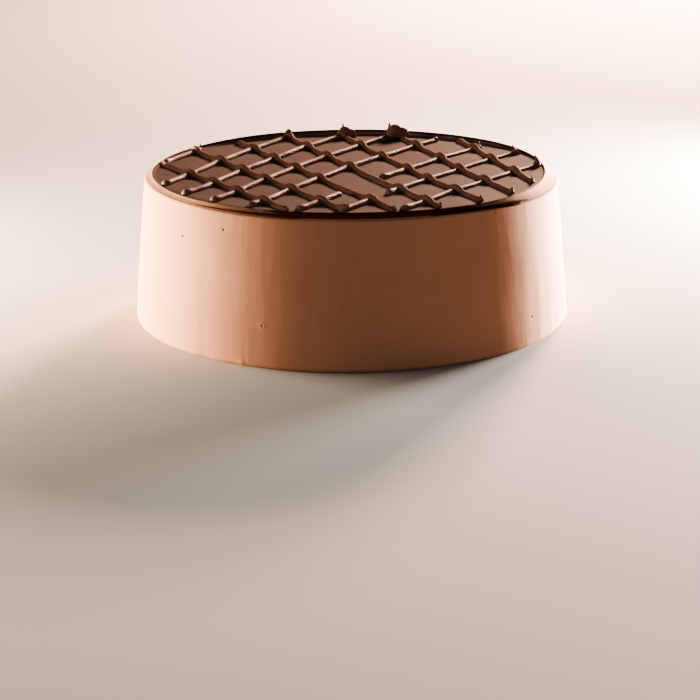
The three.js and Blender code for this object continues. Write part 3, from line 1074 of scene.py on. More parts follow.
@dataclass
class GanacheLayer:
    """The poured layer inside the rim, its spill over the front, and the spill's two drawn-out ends.

    The spill's right end is its tail, and the thin line at its left end is its trail.

    Attributes:
        form: The cake's sizes.
        finish: The ganache of the layer.
        shaded_end_finish: The ganache of the spill's right end, in a darker tone that is painted shade.
        columns: The number of bearings.
        bevel_rows: The number of rows over the bevel.
        creep_rows: The number of rows where the ganache creeps up to the lip.
        creep_power: The power by which those lie closer towards the lip.
        pool_rows: The number of steps from there to the axis.
        pool_power: The power by which those are spread.
        smoothings: How often the face is smoothed from row to row.
        gap: The gap over the body's floor.
        seat: How far inside the lip the layer ends beside the spill.
        seat_fall: How far under the lip it ends there, as a share of the seat.
        film: The thickness of the spill.
        roll: How much thicker the roll makes it.
        roll_start: How far inside the lip the roll's darker tone, painted shade, starts to fade.
        roll_width: How far inside the lip it is gone.
        base_share: The radius of the base's first row, as a share of the lip's.
        base_insets: How far inside the lip the base's other rows lie.
        base_rise: How far above the first row the third one lies.
        base_depth: How far under the lip the last one lies.
        strip_steps: The number of rings of tail and trail.
        strip_squash: Their height over their width.
        strip_least: Their least radius.
        strip_sunk: How far they are sunk into the bevel, in radii.
        tail_from: The bearing where the tail starts.
        tail_to: The bearing where it ends.
        tail_radius: Its radius, which the shares below change.
        tail_place: Where it starts, from the lip at 0 to the wall's edge at 1.
        tail_end_place: Where it ends.
        tail_start: The share of its length in which it grows.
        tail_waist: The radius before its swelling, as a share.
        tail_swell: How much is added to that share at the swelling.
        tail_swell_at: Where the swelling is, as a share of its length.
        tail_swell_span: The span of the swelling's bell.
        tail_end: The share of its length in which it rounds off.
        tail_taper: The length of its taper.
        tail_tip: What is left of the taper at its tip.
        tail_sink: How much deeper its end is sunk, in radii.
        tail_sink_span: The shares of its length between which it goes deeper.
        trail_from: The bearing where the trail starts.
        trail_to: The bearing where it ends.
        trail_radius: Its greatest radius.
        trail_place: Where it starts, from the lip at 0 to the wall's edge at 1.
        trail_climb: How much nearer to the lip it ends.
        trail_start: The share of its length in which it grows.
        trail_end: The share of its length in which it rounds off.
        trail_least: Its width at the start, as a share.
        trail_power: The power with which it widens.
    """

    form: CakeForm
    finish: GanacheFinish
    shaded_end_finish: GanacheFinish
    columns: int = 480
    bevel_rows: int = 12
    creep_rows: int = 16
    creep_power: float = 1.4
    pool_rows: int = 34
    pool_power: float = 0.9
    smoothings: int = 3
    gap: float = 0.3
    seat: float = 0.35
    seat_fall: float = 0.4
    film: float = 0.3
    roll: float = 0.5
    roll_start: float = 0.1
    roll_width: float = 1.4
    base_share: float = 0.5
    base_insets: tuple[float, ...] = (2.7, 1.5, 1.0)
    base_rise: float = 2.0
    base_depth: float = 1.2
    strip_steps: int = 60
    strip_squash: float = 0.8
    strip_least: float = 0.02
    strip_sunk: float = 0.35
    tail_from: float = 20.0
    tail_to: float = 56.5
    tail_radius: float = 1.3
    tail_place: float = 0.62
    tail_end_place: float = 0.9
    tail_start: float = 0.06
    tail_waist: float = 0.8
    tail_swell: float = 0.35
    tail_swell_at: float = 0.78
    tail_swell_span: float = 0.13
    tail_end: float = 0.14
    tail_taper: float = 0.2
    tail_tip: float = 0.35
    tail_sink: float = 0.15
    tail_sink_span: tuple[float, float] = (0.35, 0.75)
    trail_from: float = -47.0
    trail_to: float = -12.0
    trail_radius: float = 1.3
    trail_place: float = 0.8
    trail_climb: float = 0.2
    trail_start: float = 0.2
    trail_end: float = 0.1
    trail_least: float = 0.15
    trail_power: float = 1.5

    def build_layer(self) -> Shell:
        """The layer: along its floor, up to the rim, over it as far as the spill goes, and back inwards.

        The spill's face lies a film's thickness square over the bevel. With b from 0 at the lip to 1 at the
        spill's edge, the film thins to nothing along sqrt(1 - b^4) and bulges as a roll by a parabola
        4b(1 - b). Inside the lip the face follows the pool's level.

        Returns:
            The closed layer.
        """
        form = self.form
        bearing = np.linspace(-180, 180, self.columns, endpoint=False)
        lip_radius = form.lip_radius(bearing)
        lip_height = form.lip_height(bearing)
        spilled = form.spilled(bearing)
        floor = form.pool_floor + self.gap
        back = np.linspace(1, 0, self.bevel_rows)[:, None]
        step = back * form.spill_share(bearing)
        thick = spilled * (self.film * np.sqrt(1 - back**4) + self.roll * 4 * back * (1 - back))
        seat = self.seat * (1 - spilled)
        out = form.edge_radius() - lip_radius
        down = lip_height - form.edge_height(bearing)
        slant = np.hypot(out, down)
        film_radius = lip_radius + out * step - seat + thick * down / slant
        film_height = lip_height - down * step - self.seat_fall * seat + thick * out / slant
        inner = np.linspace(0, 1, self.creep_rows + 1)[1:, None] ** self.creep_power
        creep_radius = lip_radius - seat - inner * form.creep
        shares = np.linspace(1, 0, self.pool_rows, endpoint=False)[1:, None] ** self.pool_power
        top_radius = np.concatenate([creep_radius, creep_radius[-1] * shares])
        place = turned(bearing, top_radius, 0 * top_radius)
        top_height = form.pool_level(place[..., 0], place[..., 1])
        face_radius = np.concatenate([film_radius, top_radius])
        face_height = np.concatenate([film_height, top_height])
        for _ in range(self.smoothings):
            for rows in (face_radius, face_height):
                rows[1:-1] = (rows[:-2] + 2 * rows[1:-1] + rows[2:]) / 4
        base_radius = np.concatenate([[self.base_share * lip_radius], lip_radius - column(self.base_insets)])
        low = floor + 0 * bearing
        base_height = np.stack([low, low, low + self.base_rise, lip_height - self.base_depth])
        radius = np.concatenate([base_radius, face_radius])
        height = np.concatenate([base_height, face_height])
        middle = form.pool_level(np.zeros(1), np.zeros(1))[0]
        # The marks carry the roll's darker tone, painted shade, over the spill and fade it out inside the
        # lip.
        rolled = np.zeros_like(radius)
        start = len(base_radius)
        inside = smooth(lip_radius - top_radius, self.roll_start, self.roll_width)
        rolled[start : start + self.bevel_rows] = spilled
        rolled[start + self.bevel_rows :] = spilled * (1 - inside)
        poles = np.array([[0, 0, floor], [0, 0, middle]])
        return Shell(turned(bearing, radius, height), poles[0], poles[1], rolled)

    def along_rim(self, bearing: Array, place: Array, radii: Array, sunk: Array) -> Shell:
        """A strip of ganache along the bevel, sunk by part of its radius.

        Args:
            bearing: Bearings along the strip.
            place: Its place from the lip at 0 to the wall's edge at 1.
            radii: Its radius at each bearing.
            sunk: How far it is sunk, in radii.

        Returns:
            The closed strip.
        """
        form = self.form
        edge_radius = form.edge_radius()
        edge_height = form.edge_height(bearing)
        lip_radius = form.lip_radius(bearing)
        lip_height = form.lip_height(bearing)
        radius = lip_radius + (edge_radius - lip_radius) * place
        height = lip_height + (edge_height - lip_height) * place - sunk * radii
        inwards = -turned(bearing, np.ones_like(bearing), 0 * bearing)
        strip = tube(turned(bearing, radius, height), radii, inwards, self.strip_squash)
        # Marks the whole strip for the roll's darker tone, painted shade, where its piece keeps marks.
        strip.marks = np.ones(strip.rings.shape[:2])
        return strip

    def build_tail(self) -> Shell:
        """The right end of the spill: it narrows, swells again by a bell and runs out in a point.

        Returns:
            The closed tail.
        """
        t = np.linspace(0, 1, self.strip_steps)
        left = 1 - t
        bearing = self.tail_from + (self.tail_to - self.tail_from) * t
        bell = np.exp(-(((t - self.tail_swell_at) / self.tail_swell_span) ** 2))
        body = self.tail_waist + self.tail_swell * bell
        taper = np.clip(self.tail_tip + left / self.tail_taper, 0, 1)
        point = np.sqrt(np.clip(left / self.tail_end, 0, 1)) * taper
        start = np.sqrt(np.clip(t / self.tail_start, 0, 1))
        radii = self.tail_radius * body * point * start + self.strip_least
        place = self.tail_place + (self.tail_end_place - self.tail_place) * t**2
        sunk = self.strip_sunk + self.tail_sink * smooth(t, *self.tail_sink_span)
        return self.along_rim(bearing, place, radii, sunk)

    def build_trail(self) -> Shell:
        """The left end of the spill: a thin line along the wall's edge that widens towards the front.

        Returns:
            The closed trail.
        """
        t = np.linspace(0, 1, self.strip_steps)
        bearing = self.trail_from + (self.trail_to - self.trail_from) * t
        start = np.sqrt(np.clip(t / self.trail_start, 0, 1))
        end = np.sqrt(np.clip((1 - t) / self.trail_end, 0, 1))
        width = start * end * (self.trail_least + (1 - self.trail_least) * t**self.trail_power)
        place = self.trail_place - self.trail_climb * t
        radii = self.trail_radius * width + self.strip_least
        return self.along_rim(bearing, place, radii, self.strip_sunk + 0 * t)

    def build(self) -> bpy.types.Object:
        """Makes the layer with its spill and the thin line at the spill's left end.

        Returns:
            The finished piece.
        """
        return make_piece("ganache_layer", [self.build_layer(), self.build_trail()], self.finish.mark)

    def build_end(self) -> bpy.types.Object:
        """Makes the spill's right end."""
        return make_piece("ganache_spill_end", [self.build_tail()])

    def dress(self, piece: bpy.types.Object, end: bpy.types.Object) -> None:
        """Gives the layer its ganache and the spill's end its darker ganache, whose tone is painted shade."""
        settle(piece, self.finish.make(), Node.GANACHE)
        settle(end, self.shaded_end_finish.make(), Node.GANACHE)


@dataclass(frozen=True)
class Line:
    """One line of the lattice in plan, bowed as the hand swings.

    Attributes:
        place: Its number in its layer.
        along: Its direction at its middle.
        sideways: The direction in which its offset is measured.
        offset: Its distance from the axis.
        bow: How much more that is at the bow's reach from its middle.
        inset: How far inside the lip its strand ends.
        swing: How much further it swings out at that reach in its second half.
        hook: How far its start is swung aside.
        bow_reach: The distance from its middle at which bow and swing are measured.
        crossing_rounds: How often the place of a crossing is bettered.
        reach_rounds: How often the place of an end is bettered.
    """

    place: int
    along: Array
    sideways: Array
    offset: float
    bow: float
    inset: float
    swing: float
    hook: float
    bow_reach: float = 90.0
    crossing_rounds: int = 8
    reach_rounds: int = 6

    def aside(self, distance: Array) -> Array:
        """The distance from the axis, which grows with the square of the distance along the line."""
        share = np.asarray(distance) / self.bow_reach
        return self.offset + self.bow * share**2 + self.swing * np.maximum(share, 0) ** 2

    def point(self, distance: Array) -> Array:
        """Points at distances along the line from its middle."""
        return self.aside(distance)[..., None] * self.sideways + np.asarray(distance)[..., None] * self.along

    def crossing(self, other: "Line") -> float:
        """The distance along this line at which another one crosses it.

        Both lines are taken as straight at their last crossing's distance from the axis, a few times.

        Args:
            other: The line that crosses this one.

        Returns:
            The distance from this line's middle.
        """
        here = 0.0
        there = 0.0
        turn = float(other.sideways @ self.sideways)
        for _ in range(self.crossing_rounds):
            mine = float(self.aside(here))
            its = float(other.aside(there))
            here = (its - turn * mine) / float(other.sideways @ self.along)
            there = (mine - turn * its) / float(self.sideways @ other.along)
        return here

    def reach(self, form: CakeForm, sense: int, inset: float, front_inset: float) -> float:
        """How far the line runs from its middle before it comes to the rim.

        Args:
            form: The cake's sizes.
            sense: 1 along the line, -1 against it.
            inset: How far inside the lip it ends.
            front_inset: The same at the front.

        Returns:
            The distance from its middle.
        """
        distance = 0.0
        for _ in range(self.reach_rounds):
            point = self.point(np.array(sense * distance))
            bearing = np.degrees(np.arctan2(point[0], -point[1]))
            margin = inset + (front_inset - inset) * float(swell(bearing, 0, form.front_spread))
            aside = abs(float(self.aside(sense * distance)))
            limit = max(float(form.lip_radius(bearing)) - margin, aside)
            distance = math.sqrt(limit**2 - aside**2)
        return distance


Bend = tuple[float, float, float, float]


@dataclass(frozen=True)
class Tail:
    """The end of a strand, drawn up and off as the bag is pulled away.

    Attributes:
        bends: Places on its curve past the strand's end: how far ahead, to the right and up, and the
            radius there.
    """

    bends: tuple[Bend, ...]

    def curve(self, radius: float, count: int = 8) -> Array:
        """A Catmull-Rom curve through the strand's end and the bends.

        Between places b and c, with a before and d after them, it is half of
        2b + (c - a)t + (2a - 5b + 4c - d)t^2 + (3b - a - 3c + d)t^3.

        Args:
            radius: The strand's radius.
            count: The number of steps between two places.

        Returns:
            Rows of ahead, right, up and radius.
        """
        places = np.array([(0, 0, 0, radius), *self.bends])
        led = np.vstack([2 * places[0] - places[1], places, 2 * places[-1] - places[-2]])
        led[0, 1:] = places[0, 1:]
        t = np.linspace(0, 1, count, endpoint=False)[:, None]
        a, b, c, d = led[:-3, None], led[1:-2, None], led[2:-1, None], led[3:, None]
        bent = 2 * b + (c - a) * t + (2 * a - 5 * b + 4 * c - d) * t**2 + (3 * b - a - 3 * c + d) * t**3
        return np.vstack([0.5 * bent.reshape(-1, 4), places[-1]])


@dataclass(frozen=True)
class Lump:
    """Ganache piled up beside the end of a lower strand, where the bag was swung to the next one.

    Attributes:
        place: The strand's number.
        ahead: Its place along the strand, from the strand's end.
        start: Where it starts to the right of the strand's end.
        width: Its width to the right.
        radius: Its radius.
        lift: The height of its middle over the pool.
        fall: The share of its height that is lost at its right end.
        crest: Where it is highest, as a share of its width.
        squash: Its height over its width across.
        thinning: How much of the lost height its radius loses too, as a share.
        hump: The height of the small humps along it.
        humps: How many of them there are.
        hump_phase: The angle at which they start.
        tip: The least distance from its ends, in radii.
        steps: The number of its rings.
    """

    place: int
    ahead: float
    start: float
    width: float
    radius: float
    lift: float
    fall: float
    crest: float = 0.35
    squash: float = 1.7
    thinning: float = 0.5
    hump: float = 0.25
    humps: int = 3
    hump_phase: float = 0.6
    tip: float = 0.003
    steps: int = 40


@dataclass(frozen=True)
class StrandLayer:
    """One layer of the lattice: strands side by side, fanned a little and placed by hand.

    Attributes:
        spacing: The distance between two strands.
        shift: The offset of strand 0 from the axis.
        angle: The heading of strand 0 in degrees, from the right towards the back.
        fan: How much each next strand is turned.
        first: The first strand's number.
        stray: How far each strand is off its even place.
        skew: How much each strand is turned on its own.
        insets: How far inside the lip each strand ends.
        swing: How far each strand swings out in its second half.
        hook: How far each strand's start is swung aside.
        tails: The strands' drawn-up ends.
        bow: How far the strands bow.
        sink: How deep the strands sink in.
        right_sink: How much deeper they sink in at the right.
        foot: How much wider a strand's foot is, as a share of its radius.
    """

    spacing: float
    shift: float
    angle: float
    fan: float
    first: int
    stray: tuple[float, ...]
    skew: tuple[float, ...]
    insets: tuple[float, ...]
    swing: tuple[float, ...]
    hook: tuple[float, ...]
    tails: tuple[Tail, ...]
    bow: float
    sink: float
    right_sink: float
    foot: float

    def lines(self) -> list[Line]:
        """The layer's lines in order, each turned by the fan and its own skew and moved by its stray.

        Returns:
            One line for each strand.
        """
        made = []
        own = zip(self.stray, self.skew, self.insets, self.swing, self.hook)
        for index, (drift, skew, inset, swing, hook) in enumerate(own):
            place = self.first + index
            heading = math.radians(self.angle + self.fan * place + skew)
            along = np.array([math.cos(heading), math.sin(heading)])
            side = -1 if heading > 0 else 1
            sideways = side * np.array([-along[1], along[0]])
            offset = self.shift + self.spacing * place + drift
            made.append(Line(place, along, sideways, offset, self.bow, inset, swing, hook))
        return made


def nib(height: float, lean: float) -> Tail:
    """A small upright point.

    Args:
        height: Its height over the strand's middle.
        lean: How far its tip leans to the right.

    Returns:
        The tail.
    """
    low = (1.0, 0.0, 0.12 * height, 1.4)
    bent = (1.7, 0.3 * lean, 0.5 * height, 0.85)
    return Tail((low, bent, (1.9, lean, height, 0.25)))


SNAPPED = Tail(((1.5, 0.0, 0.0, 1.3), (3.0, 0.0, -0.3, 0.8), (4.0, 0.0, -0.6, 0.25)))
FOLDED_HOOK = Tail(
    (
        (1.2, 0.0, 1.6, 1.3),
        (1.9, 0.0, 3.3, 1.05),
        (3.0, 0.3, 3.6, 1.0),
        (3.9, 0.6, 2.2, 0.95),
        (4.3, 0.8, 0.5, 0.8),
    )
)
LOWER = StrandLayer(
    spacing=22.65,
    shift=-0.77,
    angle=60.6,
    fan=-1.6,
    first=-4,
    stray=(1.2, 2.2, 0.2, -1.9, -2.0, 1.65, -0.7, 1.0),
    skew=(0.0,) * 8,
    insets=(2.6, 3.6, 6.8, 8.0, 7.6, 11.0, 3.9, 2.7),
    swing=(0.0,) * 8,
    hook=(0.0, -1.5, -2.5, -2.5, -2.5, -2.5, -1.5, -1.5),
    tails=(
        Tail(((1.2, 0.0, 0.3, 1.4), (2.0, 0.0, 1.6, 0.6), (2.1, 0.0, 3.6, 0.22))),
        FOLDED_HOOK,
        Tail(((1.5, 0.0, 0.5, 1.7), (3.0, 0.0, 1.6, 1.6), (4.0, 0.0, 3.8, 0.9), (4.3, 0.0, 6.8, 0.3))),
        Tail(((1.5, 0.0, 0.8, 1.8), (2.2, -0.2, 3.4, 1.4), (2.4, -0.6, 7.2, 0.45))),
        Tail(((1.5, 0.0, 0.2, 1.6), (3.0, 0.0, 0.9, 1.4), (4.2, 0.0, 1.3, 1.0), (4.9, 0.0, 1.2, 0.4))),
        Tail(((1.2, 0.0, 0.3, 2.1), (2.4, 0.0, 0.5, 2.2), (3.4, 0.0, 0.8, 1.2), (3.3, 0.0, 4.2, 0.25))),
        Tail(((1.2, 0.0, 0.3, 2.2), (2.4, 0.0, 0.5, 2.3), (2.9, -0.5, 1.6, 1.0), (2.0, -1.5, 4.8, 0.22))),
        Tail(((1.5, 0.0, 1.0, 1.8), (2.0, -0.2, 2.6, 1.3), (1.8, -0.6, 4.2, 0.75), (1.3, -1.1, 5.9, 0.25))),
    ),
    bow=4.9,
    sink=1.35,
    right_sink=0.6,
    foot=0.0,
)
UPPER = StrandLayer(
    spacing=24.2,
    shift=3.3,
    angle=-68.1,
    fan=-2.21,
    first=-3,
    stray=(-0.4, -0.4, -1.2, -1.6, -2.0, -2.1, -3.4),
    skew=(2.0, 1.6, 0.0, 0.0, 0.0, 0.0, 0.0),
    insets=(2.6,) * 7,
    swing=(0.0, 0.0, 2.0, 3.0, 5.0, 5.0, 0.0),
    hook=(0.0,) * 7,
    tails=(
        nib(1.6, 0.2),
        nib(2.0, -0.3),
        nib(2.4, 0.2),
        nib(2.6, -0.3),
        nib(3.0, 0.2),
        nib(3.2, -0.3),
        nib(3.0, 0.2),
    ),
    bow=0.0,
    sink=1.75,
    right_sink=0.0,
    foot=0.3,
)
LUMPS = (
    Lump(place=-2, ahead=0.2, start=-2.6, width=9.5, radius=1.9, lift=2.4, fall=0.7),
    Lump(place=-1, ahead=0.2, start=-2.2, width=11.5, radius=2.2, lift=3.4, fall=0.6),
)


def waves(place: Array, sizes: tuple[tuple[float, float], ...], phases: Array) -> Array:
    """A sum of sines h sin(p / l + a), with a height h, a length l and a phase a for each."""
    return sum(height * np.sin(place / length + phase) for (height, length), phase in zip(sizes, phases))


@dataclass
class PipedLattice:
    """The piped strands: a lower layer laid on the pool and an upper one across it.

    Attributes:
        form: The cake's sizes.
        lower_finish: The ganache of the lower strands.
        upper_finish: The ganache of the upper strands.
        radius: A strand's radius.
        start_inset: How far inside the lip a strand starts.
        front_inset: How far inside the lip it starts or ends at the front.
        rise: How much a strand rises over one that it crosses.
        rise_span: The span of the bell by which it rises.
        step: The distance between two rings.
        start_rows: The number of rings of its round start.
        start_angle: The angle of the first of them from the start's pole, in degrees.
        start_swell: How much fuller its start is, as a share.
        swell_radii: Where that ends, in radii from its start.
        start_dip: How far its start is pressed down on the rim.
        dip_radii: Where that ends, in radii from its start.
        hook_length: The length over which its start is swung aside.
        right_sink_reach: How far to the right a strand is sunk deepest.
        foot_fade: The tail's heights between which a strand's wider foot goes.
        sways: The height and length of each of its waves to the sides.
        swells: The height, as a share, and the length of each wave of its thickness.
        seed: The seed of the waves' phases.
        seed_step: How much that grows with a strand's number.
        breaks: The broken strands: their number, and where the break starts and ends.
    """

    form: CakeForm
    lower_finish: GanacheFinish
    upper_finish: GanacheFinish
    radius: float = 1.7
    start_inset: float = 2.6
    front_inset: float = 2.0
    rise: float = 1.75
    rise_span: float = 5.0
    step: float = 0.8
    start_rows: int = 7
    start_angle: float = 6.0
    start_swell: float = 0.2
    swell_radii: float = 5.0
    start_dip: float = 0.4
    dip_radii: float = 2.0
    hook_length: float = 22.0
    right_sink_reach: float = 70.0
    foot_fade: tuple[float, float] = (0.1, 0.8)
    sways: tuple[tuple[float, float], ...] = ((0.22, 11.0), (0.12, 4.7))
    swells: tuple[tuple[float, float], ...] = ((0.035, 6.3), (0.02, 2.3))
    seed: int = 421
    seed_step: int = 31
    breaks: tuple[tuple[int, float, float], ...] = ((1, -49.3, -11.0), (2, -50.7, -39.2))

    def strand(
        self, layer: StrandLayer, line: Line, start: float, end: float, crossings: Array, tail: Tail
    ) -> Shell:
        """One strand from a round, slightly swollen start to a drawn-up tail.

        Its centre lies a radius less the sink over the pool, rises over each crossing by a bell
        exp(-(d/span)^2), sinks deeper at the right and wanders slowly to the sides. On the rim its start
        is pressed down a little, and swings aside by its hook with the square of the nearness to it.

        Args:
            layer: Its layer.
            line: Its line in plan.
            start: Where it starts, from the line's middle.
            end: Where its tail reaches furthest.
            crossings: Where it passes over strands of the layer below.
            tail: Its drawn-up end.

        Returns:
            The closed strand.
        """
        draw = np.random.default_rng(self.seed + self.seed_step * line.place + int(abs(start)))
        ahead, right, up, drawn = tail.curve(self.radius).T[:, 1:]
        finish = end - ahead.max()
        turn = np.radians(np.linspace(self.start_angle, 90, self.start_rows))
        first = start + self.radius * (1 - np.cos(turn))
        count = max(2, int((finish - first[-1]) / self.step))
        straight = np.concatenate([first, np.linspace(first[-1], finish, count)[1:]])
        along = np.concatenate([straight, finish + ahead])
        phase = draw.uniform(0, 2 * np.pi, 4)
        sway = waves(along, self.sways, phase[:2])
        left = np.array([-line.along[1], line.along[0]])
        lean = np.concatenate([0 * straight, right])
        rim = start == self.span(line)[0]
        hooked = rim * line.hook * np.clip(1 - (along - start) / self.hook_length, 0, 1) ** 2
        plan = line.point(along) + (sway + hooked)[:, None] * line.sideways - lean[:, None] * left
        dip = rim * self.start_dip * (1 - smooth(along, start, start + self.dip_radii * self.radius))
        sink = layer.sink + layer.right_sink * smooth(plan[:, 0], 0, self.right_sink_reach)
        height = self.form.pool_level(plan[:, 0], plan[:, 1]) + self.radius - sink - dip
        if len(crossings):
            bells = np.exp(-(((along[:, None] - crossings) / self.rise_span) ** 2))
            height = height + self.rise * bells.max(axis=1)
        centres = np.column_stack([plan, height + np.concatenate([0 * straight, up])])
        near = np.clip((along - start) / self.radius, 0, 1)
        ball = np.sqrt(1 - (1 - near) ** 2)
        swollen = 1 - smooth(along, start + self.radius, start + self.swell_radii * self.radius)
        uneven = 1 + waves(along, self.swells, phase[2:])
        whole = np.concatenate([0 * straight + self.radius, drawn])
        radii = whole * ball * (1 + self.start_swell * swollen) * uneven
        spread = np.concatenate([0 * straight + 1, 1 - smooth(up, *self.foot_fade)])
        level = (layer.sink - self.radius) / self.radius
        return tube(centres, radii, np.append(left, 0), foot=layer.foot * spread, level=level)

    def lump(self, lump: Lump, line: Line) -> Shell:
        """A lump beside a strand's end: a short tube, taller than wide, to the right.

        It sinks evenly to both sides of its crest and thins half as much, with a sine's small humps.

        Args:
            lump: Its sizes.
            line: The strand's line in plan.

        Returns:
            The closed lump.
        """
        t = np.linspace(0, 1, lump.steps)
        end = line.point(np.array(self.span(line)[1] + lump.ahead))
        x = end[0] + lump.start + lump.width * t
        y = end[1] - lump.radius + 0 * t
        near = np.clip(np.minimum(t, 1 - t) * lump.width / lump.radius, lump.tip, 1)
        lost = lump.fall * abs(t - lump.crest) / (1 - lump.crest)
        radii = lump.radius * (1 - lump.thinning * lost) * np.sqrt(1 - (1 - near) ** 2)
        humps = lump.hump * np.sin(2 * np.pi * lump.humps * t + lump.hump_phase)
        height = self.form.pool_level(x, y) + lump.lift * (1 - lost) + humps
        backwards = np.array([0.0, 1.0, 0.0])
        return tube(np.column_stack([x, y, height]), radii, backwards, lump.squash)

    def span(self, line: Line) -> tuple[float, float]:
        """Where a strand starts and ends, from its line's middle."""
        start = -line.reach(self.form, -1, self.start_inset, self.front_inset)
        return start, line.reach(self.form, 1, line.inset, self.front_inset)

    def stretches(self, line: Line) -> list[tuple[float, float]]:
        """Where a lower strand lies: from rim to rim, less the stretch that broke out of it.

        Args:
            line: The strand's line in plan.

        Returns:
            The start and end of each whole stretch, from the line's middle.
        """
        start, end = self.span(line)
        for place, low, high in self.breaks:
            if place == line.place:
                return [(start, low), (high, end)]
        return [(start, end)]

    def build_lower(self) -> bpy.types.Object:
        """Makes the lower strands.

        Returns:
            The finished piece.
        """
        shells = []
        for line, tail in zip(LOWER.lines(), LOWER.tails):
            parts = self.stretches(line)
            for number, (start, end) in enumerate(parts):
                last = number == len(parts) - 1
                ending = tail if last else SNAPPED
                shells.append(self.strand(LOWER, line, start, end, np.zeros(0), ending))
            shells += [self.lump(lump, line) for lump in LUMPS if lump.place == line.place]
        return make_piece("piped_strands_lower", shells)

    def build_upper(self) -> bpy.types.Object:
        """Makes the upper strands, which ride over the lower ones and sag onto the pool between them.

        Returns:
            The finished piece.
        """
        shells = []
        lower = LOWER.lines()
        for line, tail in zip(UPPER.lines(), UPPER.tails):
            met = []
            for other in lower:
                place = other.crossing(line)
                if any(low < place < high for low, high in self.stretches(other)):
                    met.append(line.crossing(other))
            shells.append(self.strand(UPPER, line, *self.span(line), np.array(met), tail))
        return make_piece("piped_strands_upper", shells)

    def dress(self, lower: bpy.types.Object, upper: bpy.types.Object) -> None:
        """Gives the strands of both layers their ganache."""
        settle(lower, self.lower_finish.make(), Node.GANACHE)
        settle(upper, self.upper_finish.make(), Node.GANACHE)


@dataclass(frozen=True)
class SoftLight:
    """A soft box that faces the cake.

    Attributes:
        name: Its name.
        bearing: Where it stands round the cake.
        elevation: How high it stands, in degrees.
        distance: How far it is from the cake, in metres.
        width: Its width in metres.
        height: Its height in metres.
        power: Its power in watts.
        tone: The colour of its light.
    """

    name: str
    bearing: float
    elevation: float
    distance: float
    width: float
    height: float
    power: float
    tone: str = "#ffffff"

    def place(self, aim: Vector) -> None:
        """Stands the soft box on its bearing and turns it to the aim point.

        Args:
            aim: The point that it faces.
        """
        lamp = bpy.data.lights.new(self.name, "AREA")
        lamp.shape = "RECTANGLE"
        lamp.size = self.width
        lamp.size_y = self.height
        lamp.energy = self.power
        lamp.color = linear(self.tone)[:3]
        turn = math.radians(self.bearing)
        climb = math.radians(self.elevation)
        level = math.cos(climb)
        away = Vector((math.sin(turn) * level, -math.cos(turn) * level, math.sin(climb)))
        box = bpy.data.objects.new(self.name, lamp)
        box.location = aim + self.distance * away
        box.rotation_euler = (-away).to_track_quat("-Z", "Y").to_euler()
        box.visible_camera = False
        bpy.context.scene.collection.objects.link(box)


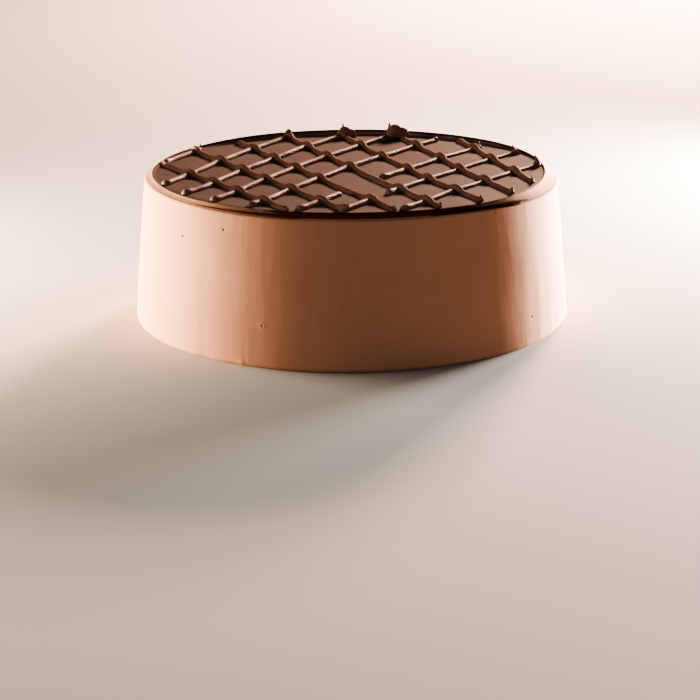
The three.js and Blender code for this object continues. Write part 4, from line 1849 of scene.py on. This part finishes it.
@dataclass
class Studio:
    """A plain pale floor, soft boxes round the cake, and the camera.

    Attributes:
        floor_half: Half the side of the floor, in metres.
        floor_tone: The floor's colour.
        floor_roughness: The floor's roughness.
        room_tone: The colour of the room's light.
        room_strength: The strength of the room's light.
        aim: The point that the soft boxes face, in metres.
        eye_mm: The camera's place.
        pitch: How far the camera is turned up from looking straight down, in degrees.
        roll: How far it is turned about its own line of sight, in degrees.
        lens: The focal length in millimetres.
        sensor: The sensor's width in millimetres.
        clip_end: How far the camera sees, in metres.
        lights: The soft boxes.
    """

    floor_half: float = 6.0
    floor_tone: str = "#cbc7c1"
    floor_roughness: float = 0.85
    room_tone: str = "#ffffff"
    room_strength: float = 0.062
    aim: tuple[float, float, float] = (0.0, 0.0, 0.04)
    eye_mm: tuple[float, float, float] = (-1.02, -1116.7, 314.0)
    pitch: float = 73.36
    roll: float = -0.417
    lens: float = 122.8
    sensor: float = 36.0
    clip_end: float = 50.0
    lights: tuple[SoftLight, ...] = (
        SoftLight("left_strip", -102, -3.2, 0.4, 0.2, 0.03, 12.0, "#fff0d6"),
        SoftLight("right_strip", 126, -2.6, 0.5, 0.15, 0.03, 35.0, "#fffaf2"),
        SoftLight("back_soft_box", 159, 19, 1.5, 0.35, 0.25, 60.0, "#ffd3bd"),
        SoftLight("left_fill", -88, 9, 1.6, 0.6, 0.3, 12.5, "#ffeadc"),
        SoftLight("front_fill", 5, 12, 1.6, 1.0, 0.4, 3.6),
    )

    def build_floor(self) -> None:
        """Lays the floor under the cake: a level square."""
        half = self.floor_half
        corners = [(-half, -half, 0), (half, -half, 0), (half, half, 0), (-half, half, 0)]
        mesh = bpy.data.meshes.new("floor")
        mesh.from_pydata(corners, [], [(0, 1, 2, 3)])
        floor = bpy.data.objects.new("floor", mesh)
        bpy.context.scene.collection.objects.link(floor)
        material = bpy.data.materials.new("pale_matt_floor")
        material.use_nodes = True
        shader = material.node_tree.nodes["Principled BSDF"]
        shader.inputs["Base Color"].default_value = linear(self.floor_tone)
        shader.inputs["Roughness"].default_value = self.floor_roughness
        mesh.materials.append(material)

    def build_light(self) -> None:
        """Stands the soft boxes round the cake in a dim room."""
        for light in self.lights:
            light.place(Vector(self.aim))
        world = bpy.data.worlds.new("room")
        world.use_nodes = True
        background = world.node_tree.nodes["Background"]
        background.inputs["Color"].default_value = linear(self.room_tone)
        background.inputs["Strength"].default_value = self.room_strength
        bpy.context.scene.world = world

    def build_camera(self) -> None:
        """Stands the camera in front of the cake, looking a little down on it."""
        data = bpy.data.cameras.new("camera")
        data.lens = self.lens
        data.sensor_width = self.sensor
        data.clip_end = self.clip_end
        camera = bpy.data.objects.new("camera", data)
        camera.location = Vector(self.eye_mm) * MM
        pitch = Matrix.Rotation(math.radians(self.pitch), 3, "X")
        camera.rotation_euler = (pitch @ Matrix.Rotation(math.radians(self.roll), 3, "Z")).to_euler()
        bpy.context.scene.collection.objects.link(camera)
        bpy.context.scene.camera = camera

    def build(self) -> None:
        """Builds the floor, the light and the camera."""
        self.build_floor()
        self.build_light()
        self.build_camera()
        settings = bpy.context.scene.view_settings
        settings.view_transform = "AgX"
        settings.look = "AgX - High Contrast"


def main() -> None:
    """Builds the cake's pieces in order, then the studio round it."""
    logging.basicConfig(level=logging.INFO, format="%(name)s %(message)s")
    LOG.info("frame: %s", ", ".join(sorted(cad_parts)))
    form = CakeForm()
    body = MousseBody(form, MousseFinish())
    body.dress(body.build())
    layer = GanacheLayer(form, POURED_GANACHE, SHADED_SPILL_END)
    layer.dress(layer.build(), layer.build_end())
    lattice = PipedLattice(form, GLOSSY_PIPED_GANACHE, DULL_PIPED_GANACHE)
    lattice.dress(lattice.build_lower(), lattice.build_upper())
    Studio().build()


if __name__ == "__main__":
    main()
